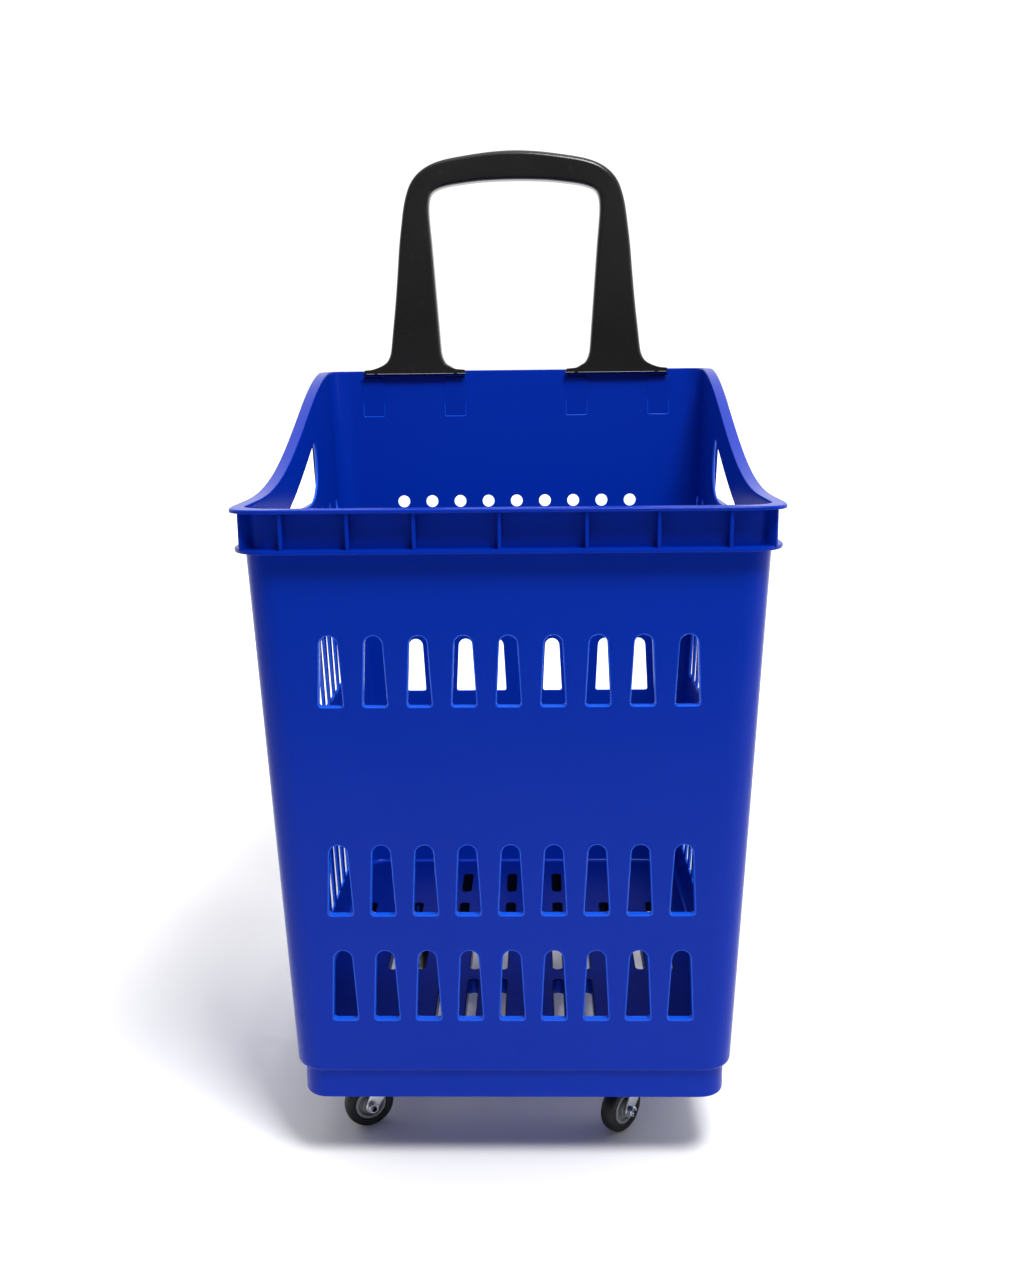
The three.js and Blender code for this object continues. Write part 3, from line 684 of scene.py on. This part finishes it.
def floor(sheet):
    """The floor with its windows, each with a moulded web round it underneath."""
    fillet = []
    for degrees in (0, 30, 60, 90):
        t = math.radians(degrees)
        depth = WALL + FLOOR_FILLET * (1 - math.cos(t))
        z = FILLET_TOP - FLOOR_FILLET * math.sin(t)
        fillet.append([
            (x, y, z)
            for x, y in plan_ring(half_width(z) - depth, front_y(z) + depth, back_y(z) - depth, CORNER - WALL)
        ])
    sheet.loft(fillet)
    windows = []
    for near, far, depth, count, pitch, shift in FLOOR_ROWS:
        for centre in centres(count, pitch):
            x0, x1 = centre + shift - WINDOW_HALF, centre + shift + WINDOW_HALF
            windows.append((rounded_rectangle(x0, x1, near, far, WINDOW_HALF * 0.97, 6), depth))
    top = [(p[0], p[1]) for p in fillet[-1]]
    # The floor's top takes the darker blue as painted shade.
    fill(sheet, top, [grown(w, 1.2) for w, _ in windows], lambda x, y: (x, y, FLOOR_TOP), FLOOR_SHADE_MARK)
    under = [(p[0], p[1]) for p in plinth_ring(WALL, FLOOR_BOTTOM)]
    fill(sheet, under, [grown(w, 2.4) for w, _ in windows], lambda x, y: (x, y, FLOOR_BOTTOM))
    for outline, depth in windows:
        path = [
            (1.2, 0.0), (0.4, 0.35), (0.0, 1.2), (0.0, depth), (0.5, depth + 0.4), (2.0, depth + 0.4),
            (2.4, depth), (2.4, FLOOR_TOP - FLOOR_BOTTOM),
        ]
        rings = [[(x, y, FLOOR_TOP - d) for x, y in grown(outline, g)] for g, d in path]
        # Painted shade: the top edge of every window's web, and the whole web of the windows behind the middle,
        # take the near-black blue.
        behind = outline[0][1] > 0
        sheet.loft(rings[:3], mark=SHADE_MARK)
        sheet.loft(rings[2:], mark=SHADE_MARK if behind else 0)


def block(sheet, x0, x1, y0, y1, z0, z1, bevel=0.6, top=None, place=None):
    """A bevelled block; top gives the height of its upper face at a plan point, place moves points in space."""
    upper = top or (lambda x, y: z1)

    def level(inset, height):
        ring = rounded_rectangle(x0 + inset, x1 - inset, y0 + inset, y1 - inset, bevel, 2)
        points = [(x, y, height(x, y)) for x, y in ring]
        return [place(*point) for point in points] if place else points

    rings = [
        level(bevel, lambda x, y: z0),
        level(bevel * 0.3, lambda x, y: z0 + bevel * 0.3),
        level(0.0, lambda x, y: z0 + bevel),
        level(0.0, lambda x, y: upper(x, y) - bevel),
        level(bevel * 0.3, lambda x, y: upper(x, y) - bevel * 0.3),
        level(bevel, upper),
    ]
    sheet.loft(rings)
    sheet.cap(rings[0])
    sheet.cap(rings[-1])


def lower_flange(sheet):
    """A level flange round the tub, as (reach from the wall, height) pairs run along the wall."""
    z0, z1, reach, bury = LOWER_FLANGE, LOWER_FLANGE + LOWER_FLANGE_THICK, LOWER_REACH, 1.0
    path = [
        (-bury, z1), (reach - EDGE, z1), (reach - EDGE * 0.3, z1 - EDGE * 0.3), (reach, z1 - EDGE),
        (reach, z0 + EDGE), (reach - EDGE * 0.3, z0 + EDGE * 0.3), (reach - EDGE, z0),
        (1.4, z0), (0.4, z0 - 0.4), (-0.4, z0 - 1.4),
    ]
    inner = wall_ring(z1, bury)
    outer = flange_ring(z1, SIDE_REACH, reach, LOWER_CORNER)
    rings = []
    for offset, z in path:
        t = (offset + bury) / (reach + bury)
        rings.append([between(a, b, t)[:2] + (z,) for a, b in zip(inner, outer)])
    sheet.loft(rings)


def ribs(sheet):
    """Upright ribs between the flanges, leaning with the wall they stand on, and one on each front corner."""
    wall, top = front_y(RIB_LOW), FRONT_RIM - BELOW_RIM
    for x in FRONT_RIBS:
        block(
            sheet, x - RIB_HALF, x + RIB_HALF, wall - RIB_REACH, wall + 1.2, RIB_LOW, top, 0.7,
            place=lambda u, v, z: (u, v - DRAFT * (z - RIB_LOW), z),
        )
    wall = back_y(RIB_LOW)
    for x in BACK_RIBS:
        top = SEAT_BOTTOM - 0.5 if x else BACK_RIM - BELOW_RIM
        block(
            sheet, x - RIB_HALF, x + RIB_HALF, wall - 1, wall + RIB_REACH, RIB_LOW, top, 0.7,
            place=lambda u, v, z: (u, v + DRAFT * (z - RIB_LOW), z),
        )
    wall = half_width(RIB_LOW)
    for y in SIDE_RIBS:
        for side in (-1, 1):
            block(
                sheet, wall - 1, wall + SIDE_RIB_REACH, y - RIB_HALF, y + RIB_HALF, RIB_LOW, 0, 0.7,
                top=lambda u, v: rim_height(v) - BELOW_RIM,
                place=lambda u, v, z, side=side: (side * (u + DRAFT * (z - RIB_LOW)), v, z),
            )
    half = math.sqrt(0.5)
    cx, cy = half_width(RIB_LOW) - CORNER, front_y(RIB_LOW) + CORNER
    top = FRONT_RIM - BELOW_RIM
    for side in (-1, 1):
        block(
            sheet, CORNER - 1, CORNER + CORNER_RIB_REACH, -RIB_HALF, RIB_HALF, RIB_LOW, top, 0.9,
            place=lambda u, v, z, side=side: (side * (cx + (u + v) * half), cy + (v - u) * half, z),
        )


def seat_bosses(sheet):
    """Thick places behind the back wall that back the pockets and take the handle screws."""
    for x in POCKETS:
        block(sheet, x - 15, x + 15, *BOSS_Y, POCKET_BOTTOM - 6, SEAT_BOTTOM + 0.6, 0.8)


def castor_bosses(sheet):
    """A pad over each castor, with four webs that stiffen it against the floor."""
    pad = 30
    for _, x, y, _ in CASTORS:
        block(sheet, x - pad, x + pad, y - pad, y + pad, PLATE[1] + 0.3, FLOOR_BOTTOM + 1, 1.2)
        for dx, dy in ((-1, 0), (1, 0), (0, -1), (0, 1)):
            x0, x1 = sorted((x + dx * 29, x + dx * 52)) if dx else (x - 1.5, x + 1.5)
            y0, y1 = sorted((y + dy * 29, y + dy * 52)) if dy else (y - 1.5, y + 1.5)
            block(sheet, x0, x1, y0, y1, 82, FLOOR_BOTTOM + 0.5, 0.5)


def tub():
    shell = Sheet()
    stations = rim(shell)
    wall_panels(shell, stations)
    corner_strips(shell, stations)
    lower_body(shell)
    floor(shell)
    build("tub_shell", shell, TUB_FINISHES_AND_PAINTED_LIGHT, "basket", ["basket"])

    trim = Sheet()
    lower_flange(trim)
    ribs(trim)
    seat_bosses(trim)
    castor_bosses(trim)
    build("tub_flange_and_ribs", trim, [BLUE], "basket", weld=0.001)


tub()


# ---------------------------------------------------------------- push handle

# Matched (outer x, outer z, inner x, inner z) pairs up the right side of the handle, then its edge rounding.
HANDLE_PAIRS = [
    (188.2, 748.2, 62.7, 748.2, 0.9),
    (188.2, 750.0, 62.8, 750.0, 0.9),
    (187.2, 750.9, 63.8, 750.9, 1.1),
    (179.0, 751.7, 75.0, 752.0, 1.6),
    (170.8, 754.2, 80.5, 754.8, 2.4),
    (163.4, 757.9, 86.0, 758.2, 3.6),
    (159.0, 762.0, 89.0, 762.4, 4.6),
    (156.0, 768.0, 91.2, 768.4, 5.4),
    (154.2, 776.0, 92.4, 776.0, 5.8),
    (151.0, 802.0, 94.2, 802.0, 6.0),
    (147.8, 828.0, 96.0, 828.0, 6.0),
    (144.2, 863.0, 98.4, 863.0, 6.0),
    (141.0, 898.0, 100.8, 898.0, 6.0),
    (137.6, 924.0, 102.8, 922.0, 6.0),
    (134.6, 944.0, 103.8, 938.0, 6.0),
    (130.8, 959.0, 103.4, 949.0, 6.0),
    (126.0, 971.0, 101.6, 956.6, 6.0),
    (118.6, 981.0, 98.0, 961.4, 6.0),
    (108.0, 989.4, 92.0, 964.8, 6.0),
    (95.0, 995.4, 83.0, 967.6, 6.0),
    (78.0, 999.8, 70.0, 969.9, 6.0),
    (48.0, 1004.4, 44.0, 972.9, 6.0),
    (24.0, 1007.0, 22.0, 974.0, 6.0),
    (0.0, 1008.0, 0.0, 974.4, 6.0),
]
HANDLE_FRONT = 264.2
HANDLE_BACK = 289.8
FOOT_HEIGHTS = (747.4, 746.6)


def catmull(p0, p1, p2, p3, t):
    return tuple(
        0.5 * (2 * b + (c - a) * t + (2 * a - 5 * b + 4 * c - d) * t * t + (3 * b - a - 3 * c + d) * t ** 3)
        for a, b, c, d in zip(p0, p1, p2, p3)
    )


def handle_stations():
    """The pairs of both sides, with two more between each two of them except at the feet."""
    pairs = HANDLE_PAIRS + [(-a, b, -c, d, e) for a, b, c, d, e in reversed(HANDLE_PAIRS[:-1])]
    made = []
    for i in range(len(pairs) - 1):
        p0 = pairs[max(i - 1, 0)]
        p3 = pairs[min(i + 2, len(pairs) - 1)]
        near_foot = i < 2 or i > len(pairs) - 4
        for k in range(1 if near_foot else 3):
            made.append(catmull(p0, pairs[i], pairs[i + 1], p3, k / 3) if k else pairs[i])
    made.append(pairs[-1])
    return made


def handle_section(station, steps=5):
    ox, oz, ix, iz, radius = station
    centre = Vector(((ox + ix) / 2, (oz + iz) / 2))
    across = Vector((ox - ix, oz - iz))
    half = across.length / 2
    across.normalize()
    half_depth = (HANDLE_BACK - HANDLE_FRONT) / 2
    ring = []
    for s, y in rounded_rectangle(-half, half, -half_depth, half_depth, radius, steps):
        point = centre + across * s
        ring.append((point.x, (HANDLE_FRONT + HANDLE_BACK) / 2 + y, point.y))
    return ring


def foot_sections(station):
    """The upright end of a foot, from its first pair down to its seat."""
    outer, _, inner, _, radius = station
    return [handle_section((outer, z, inner, z, radius)) for z in FOOT_HEIGHTS]


def push_handle():
    made = Sheet()
    stations = handle_stations()
    first, last = foot_sections(stations[0]), foot_sections(stations[-1])
    rings = first[::-1] + [handle_section(station) for station in stations] + last
    made.loft(rings)
    made.cap(rings[0])
    made.cap(rings[-1])
    build("push_handle_body", made, [BLACK], "basket", ["push_handle"], 0.001, 50)


push_handle()


# ---------------------------------------------------------------- hardware


def circle(radius, z, steps=24):
    turns = [2 * math.pi * i / steps for i in range(steps)]
    return [(radius * math.cos(a), radius * math.sin(a), z) for a in turns]


def flat_circle(cx, cy, radius, steps):
    return [(cx + x, cy + y) for x, y, _ in circle(radius, 0.0, steps)]


def lathe(profile, steps):
    """A profile of (radius, height) pairs turned about +Z."""
    made = Sheet()
    made.loft([circle(r, h, steps) for r, h in profile])
    return made


def turned_solid(profile, steps):
    """A lathe whose two ends are closed with discs."""
    made = lathe(profile, steps)
    made.cap(made.points[:steps])
    made.cap(made.points[-steps:])
    return made


def bored(profile, steps):
    """A lathe whose profile is closed, so that it is a ring."""
    return lathe(profile + [profile[0]], steps)


def pan_screw(radius, height, shank, length):
    """A pan head standing on its head at z = 0, with a cross recess, and the shank upward."""
    made = Sheet()
    steps = 24
    dome = [(0.55, 0.0), (0.8, 0.1), (0.95, 0.35), (1.0, 0.7), (1.0, 1.0)]
    profile = [(radius * r, height * h) for r, h in dome]
    tip = height + length
    body = lathe(profile + [(shank, height), (shank, tip - 0.6), (shank * 0.6, tip)], steps)
    made.placed(body, lambda p: p)
    made.cap(body.points[-steps:])
    cross = []
    arm, slot = radius * 0.48, radius * 0.13
    for q in range(4):
        a = math.radians(90 * q)
        for u, v in ((arm, -slot), (arm, slot), (slot, slot)):
            cross.append((u * math.cos(a) - v * math.sin(a), u * math.sin(a) + v * math.cos(a)))
    face = [p[:2] for p in body.points[:steps]]
    recess = [(x * 0.8, y * 0.8, height * 0.5) for x, y in cross]
    fill(made, face, [cross], lambda x, y: (x, y, 0.0))
    made.loft([[(x, y, 0.0) for x, y in cross], recess])
    made.cap(recess)
    return made


def hex_ring(radius, z, round_to=None):
    """A hexagon outline, or where it is cut by a circle for the chamfered corners."""
    ring = []
    for i in range(24):
        a = 2 * math.pi * i / 24
        local = (a + math.pi / 6) % (math.pi / 3) - math.pi / 6
        reach = radius * math.cos(math.pi / 6) / math.cos(local)
        if round_to is not None:
            reach = min(reach, round_to)
        ring.append((reach * math.cos(a), reach * math.sin(a), z))
    return ring


def hex_head(radius, z0, z1, bore=None):
    """A chamfered hexagon from z0 to z1, bored if it is a nut."""
    made = Sheet()
    flat = radius * 0.87
    rings = [
        circle(flat * 0.93, z0), hex_ring(radius, z0 + 0.25, flat), hex_ring(radius, z0 + 0.7),
        hex_ring(radius, z1 - 0.7), hex_ring(radius, z1 - 0.25, flat), circle(flat * 0.93, z1),
    ]
    if bore:
        rings += [circle(bore + 0.3, z1), circle(bore, z1 - 0.4)]
        rings += [circle(bore, z0 + 0.4), circle(bore + 0.3, z0)]
        made.loft(rings + rings[:1])
    else:
        made.loft(rings)
        made.cap(rings[0])
        made.cap(rings[-1])
    return made


def plate_sheet():
    """Castor top plate: a rounded square with a screw hole near each corner and a bore for the king pin."""
    made = Sheet()
    z0, z1 = PLATE
    outline = rounded_rectangle(-PLATE_HALF, PLATE_HALF, -PLATE_HALF, PLATE_HALF, 5, 5)
    holes = [flat_circle(x * PLATE_SCREW, y * PLATE_SCREW, 2.7, 12) for x in (-1, 1) for y in (-1, 1)]
    holes.append(flat_circle(0.0, 0.0, 4.8, 20))
    fill(made, grown(outline, -0.5), holes, lambda x, y: (x, y, z0))
    fill(made, grown(outline, -0.5), holes, lambda x, y: (x, y, z1))
    rim_path = ((-0.5, z0), (-0.15, z0 + 0.15), (0, z0 + 0.5), (0, z1 - 0.5), (-0.15, z1 - 0.15), (-0.5, z1))
    made.loft([[(x, y, z) for x, y in grown(outline, g)] for g, z in rim_path])
    for hole in holes:
        made.loft([[(x, y, z) for x, y in hole] for z in (z0, z1)])
    return made


def race_sheet():
    """The fixed ring between the plate and the crown."""
    return bored([
        (9.4, 67.2), (18.2, 67.2), (18.8, 67.4), (19, 67.9), (18.7, 69.4), (17.6, 70.2), (17.4, 70.8),
        (18.1, 71.6), (17.9, 72.2), (17.4, 72.4), (9.4, 72.4), (9, 72.0), (9, 67.6),
    ], 40)


def pin_sheet():
    return turned_solid([
        (5.2, 60.9), (7.0, 61.1), (7.8, 61.9), (8.0, 63.2), (8.0, 64.1), (4.1, 64.1), (4.1, 74.4), (3.5, 75.0),
    ], 28)


def leg_outline():
    """A fork leg in (x, z): broad at the crown, curving down to a round end at the axle."""
    end = 6.8
    points = [(-12.5, 66.6)]
    points += quadratic((-12.5, 66.6), (-13.0, 56.0), (-6.0, 50.5), 6)
    points += quadratic((-6.0, 50.5), (12.0, 38.0), (TRAIL - end * 0.87, WHEEL_RADIUS - end * 0.5), 6)
    points += arc(TRAIL, WHEEL_RADIUS, end, 210, 372, 12)[1:]
    points += quadratic(points[-1], (27.5, 44.0), (16.5, 58.0), 6)
    points += [(13.0, 66.6)]
    return points


def fork_sheet():
    """Two pressed legs under a round crown."""
    made = Sheet()
    outline = leg_outline()
    bore = flat_circle(TRAIL, WHEEL_RADIUS, AXLE_BORE, 16)
    for side in (-1, 1):
        inner, outer = side * LEG_Y[0], side * LEG_Y[1]
        edge = ((0, inner), (0, outer - side * 0.5), (-0.15, outer - side * 0.15), (-0.5, outer))
        fill(made, outline, [bore], lambda x, z: (x, inner, z))
        fill(made, grown(outline, -0.5), [bore], lambda x, z: (x, outer, z))
        made.loft([[(x, y, z) for x, z in grown(outline, g)] for g, y in edge])
        made.loft([[(x, y, z) for x, z in bore] for y in (inner, outer)])
    crown = bored([
        (4.7, 64.5), (12.0, 64.5), (16.8, 64.5), (17.4, 64.9), (17.5, 65.6), (17.3, 66.6), (16.8, 66.88),
        (4.7, 66.88),
    ], 40)
    made.placed(crown, lambda p: p)
    return made


def on_axle(source):
    """A sheet drawn about +Z laid along local Y at the axle."""
    return moved(source, lambda p: (p[0] + TRAIL, p[2], -p[1] + WHEEL_RADIUS))


def bolt_sheet():
    made = hex_head(5.6, -16.3, -12.3)
    shank = turned_solid([(3.1, -12.6), (3.1, 17.6), (2.6, 18.5)], 24)
    made.placed(shank, lambda p: p)
    return made


def nut_sheet():
    return hex_head(5.6, 12.3, 16.7, 3.4)


def bush_sheet():
    return bored([(3.4, -9.7), (4.7, -9.7), (4.9, -9.5), (4.9, 9.5), (4.7, 9.7), (3.4, 9.7)], 28)


def mirrored_profile(half):
    return half + [(r, -h) for r, h in reversed(half)]


def hub_sheet():
    """Hub: a boss, a dished web and the seat of the tyre, drawn to the middle of its width."""
    half = [
        (5.4, -8.2), (5.8, -8.6), (7.9, -8.6), (8.4, -8.2), (8.8, -4.0), (9.4, -3.5), (11.6, -3.5),
        (12.3, -4.0), (12.8, -6.6), (13.2, -7.0), (15.4, -7.0), (15.9, -6.6),
    ]
    return bored(mirrored_profile(half), 48)


def tyre_sheet():
    half = [
        (16.5, -6.6), (17.0, -7.3), (19.6, -7.8), (21.4, -7.8), (22.8, -7.2), (23.9, -5.9), (24.6, -4.0),
        (24.92, -2.0),
    ]
    return bored(mirrored_profile(half), 64)


def moved(source, place):
    made = Sheet()
    made.placed(source, place)
    return made


def castor(name, cx, cy, turn):
    """One castor: what is screwed to the plinth, the part that swivels and the wheel."""
    angle = math.radians(turn)
    c, s = math.cos(angle), math.sin(angle)

    def fixed(source):
        return moved(source, lambda p: (p[0] + cx, p[1] + cy, p[2]))

    def swivelled(source):
        return moved(source, lambda p: (p[0] * c - p[1] * s + cx, p[0] * s + p[1] * c + cy, p[2]))

    head = f"castor_{name}_"
    swivel, wheel = f"{name}_swivel", f"{name}_wheel"
    items = [
        ("plate", fixed(plate_sheet()), ZINC, "basket", "zinc_steel"),
        ("race", fixed(race_sheet()), ZINC, "basket", "zinc_steel"),
        ("king_pin", fixed(pin_sheet()), DARK_ZINC, "basket", "zinc_steel"),
        ("fork", swivelled(fork_sheet()), ZINC, swivel, "zinc_steel"),
        ("axle_bolt", swivelled(on_axle(bolt_sheet())), ZINC, swivel, "zinc_steel"),
        ("axle_nut", swivelled(on_axle(nut_sheet())), ZINC, swivel, "zinc_steel"),
        ("bush", swivelled(on_axle(bush_sheet())), GREY, swivel, "hub_grey"),
        ("hub", swivelled(on_axle(hub_sheet())), GREY, wheel, "hub_grey"),
        ("tyre", swivelled(on_axle(tyre_sheet())), RUBBER, wheel, "tyre_rubber"),
    ]
    screw = pan_screw(4.2, 2.2, 2.0, 13.6)
    for i, (sx, sy) in enumerate(((-1, -1), (1, -1), (1, 1), (-1, 1))):
        x, y = cx + PLATE_SCREW * sx, cy + PLATE_SCREW * sy
        made = moved(screw, lambda p, x=x, y=y: (p[0] + x, p[1] + y, p[2] + PLATE_SCREW_Z))
        items.append((f"plate_screw_{i + 1}", made, ZINC, "basket", "zinc_steel"))
    for piece, sheet, finish, body, slot in items:
        build(f"{head}{piece}_fine", sheet, [finish], body, [head + piece], weld=0.001)


def handle_screws():
    screw = pan_screw(4.4, 3.0, 2.3, 8.8)
    for i, x in enumerate(HANDLE_SCREW_X):
        made = moved(screw, lambda p, x=x: (p[0] + x, p[1] + HANDLE_SCREW_Y, p[2] + HANDLE_SCREW_Z))
        node = f"handle_screw_{i + 1}"
        build(f"{node}_fine", made, [ZINC], "basket", [node], weld=0.001)


for castor_place in CASTORS:
    castor(*castor_place)
handle_screws()


# ---------------------------------------------------------------- studio


def studio_floor():
    """A pale floor: its colour painted darker far in front as painted shade, and rising to a white ground
    behind the basket.
    """
    mesh = bpy.data.meshes.new("studio_floor")
    reach = 30.0
    corners = [(-reach, -reach, 0), (reach, -reach, 0), (reach, reach, 0), (-reach, reach, 0)]
    mesh.from_pydata(corners, [], [(0, 1, 2, 3)])
    made = bpy.data.objects.new("studio_floor", mesh)
    bpy.context.scene.collection.objects.link(made)
    finish = bpy.data.materials.new("studio_floor")
    finish.use_nodes = True
    shader = finish.node_tree.nodes["Principled BSDF"]
    shader.inputs["Roughness"].default_value = 0.9
    shader.inputs["Specular IOR Level"].default_value = 0.1
    shader.inputs["Emission Color"].default_value = (1, 1, 1, 1)
    nodes, links = finish.node_tree.nodes, finish.node_tree.links
    place = nodes.new("ShaderNodeTexCoord")
    split = nodes.new("ShaderNodeSeparateXYZ")
    rise = nodes.new("ShaderNodeMapRange")
    rise.inputs["From Min"].default_value = 0.3
    rise.inputs["From Max"].default_value = 2.2
    links.new(place.outputs["Object"], split.inputs["Vector"])
    links.new(split.outputs["Y"], rise.inputs["Value"])
    links.new(rise.outputs["Result"], shader.inputs["Emission Strength"])
    front_shade_ramp = nodes.new("ShaderNodeMapRange")
    front_shade_ramp.inputs["From Min"].default_value = -1.7
    front_shade_ramp.inputs["From Max"].default_value = -0.7
    links.new(split.outputs["Y"], front_shade_ramp.inputs["Value"])
    # Painted shade: the base colour goes from pale to grey far in front of the basket.
    shade = nodes.new("ShaderNodeMix")
    shade.data_type = "RGBA"
    shade.inputs[6].default_value = (0.28, 0.28, 0.29, 1)
    shade.inputs[7].default_value = (0.95, 0.945, 0.955, 1)
    links.new(front_shade_ramp.outputs["Result"], shade.inputs[0])
    links.new(shade.outputs[2], shader.inputs["Base Color"])
    mesh.materials.append(finish)


def area_light(name, place, target, width, height, power):
    data = bpy.data.lights.new(name, "AREA")
    data.shape = "RECTANGLE"
    data.size, data.size_y = width, height
    data.energy = power
    made = bpy.data.objects.new(name, data)
    made.location = place
    made.rotation_euler = (Vector(target) - Vector(place)).to_track_quat("-Z", "Y").to_euler()
    bpy.context.scene.collection.objects.link(made)


def sky():
    """A bright cyclorama behind and above, a dim studio in front."""
    world = bpy.data.worlds.new("studio")
    bpy.context.scene.world = world
    world.use_nodes = True
    nodes, links = world.node_tree.nodes, world.node_tree.links
    background = nodes["Background"]
    coordinates = nodes.new("ShaderNodeTexCoord")
    split = nodes.new("ShaderNodeSeparateXYZ")
    links.new(coordinates.outputs["Generated"], split.inputs["Vector"])
    spread = nodes.new("ShaderNodeMapRange")
    spread.inputs["From Min"].default_value = -0.35
    spread.inputs["From Max"].default_value = 0.45
    spread.inputs["To Min"].default_value = 0.2
    spread.inputs["To Max"].default_value = 1.1
    links.new(split.outputs["Y"], spread.inputs["Value"])
    links.new(spread.outputs["Result"], background.inputs["Strength"])
    background.inputs["Color"].default_value = (1.0, 1.0, 1.0, 1)


studio_floor()
sky()
area_light("key", (0.6, -1.3, 2.75), (0, 0, 0.3), 0.7, 0.7, 72)
area_light("overhead", (0.2, -0.2, 3.3), (0, 0, 0.4), 2.4, 2.4, 26)
area_light("right", (3.2, 0.2, 1.6), (0, 0, 0.5), 1.6, 2.4, 14)

lens = bpy.data.cameras.new("camera")
camera = bpy.data.objects.new("camera", lens)
lens.sensor_width = 36
lens.sensor_fit = "AUTO"
lens.lens = 35.156
pitch, yaw, roll = math.radians(11.967), math.radians(1.197), math.radians(0.597)
forward = Vector((-math.sin(yaw) * math.cos(pitch), math.cos(yaw) * math.cos(pitch), -math.sin(pitch)))
right = forward.cross(Vector((0, 0, 1))).normalized()
up = right.cross(forward)
across_view = right * math.cos(roll) - up * math.sin(roll)
up_view = up * math.cos(roll) + right * math.sin(roll)
turn = Matrix((across_view, up_view, -forward)).transposed().to_4x4()
camera.matrix_world = Matrix.Translation((0.0253, -1.3215, 0.74365)) @ turn
bpy.context.scene.collection.objects.link(camera)
bpy.context.scene.camera = camera
bpy.context.scene.view_settings.view_transform = "Standard"

bpy.context.view_layer.update()
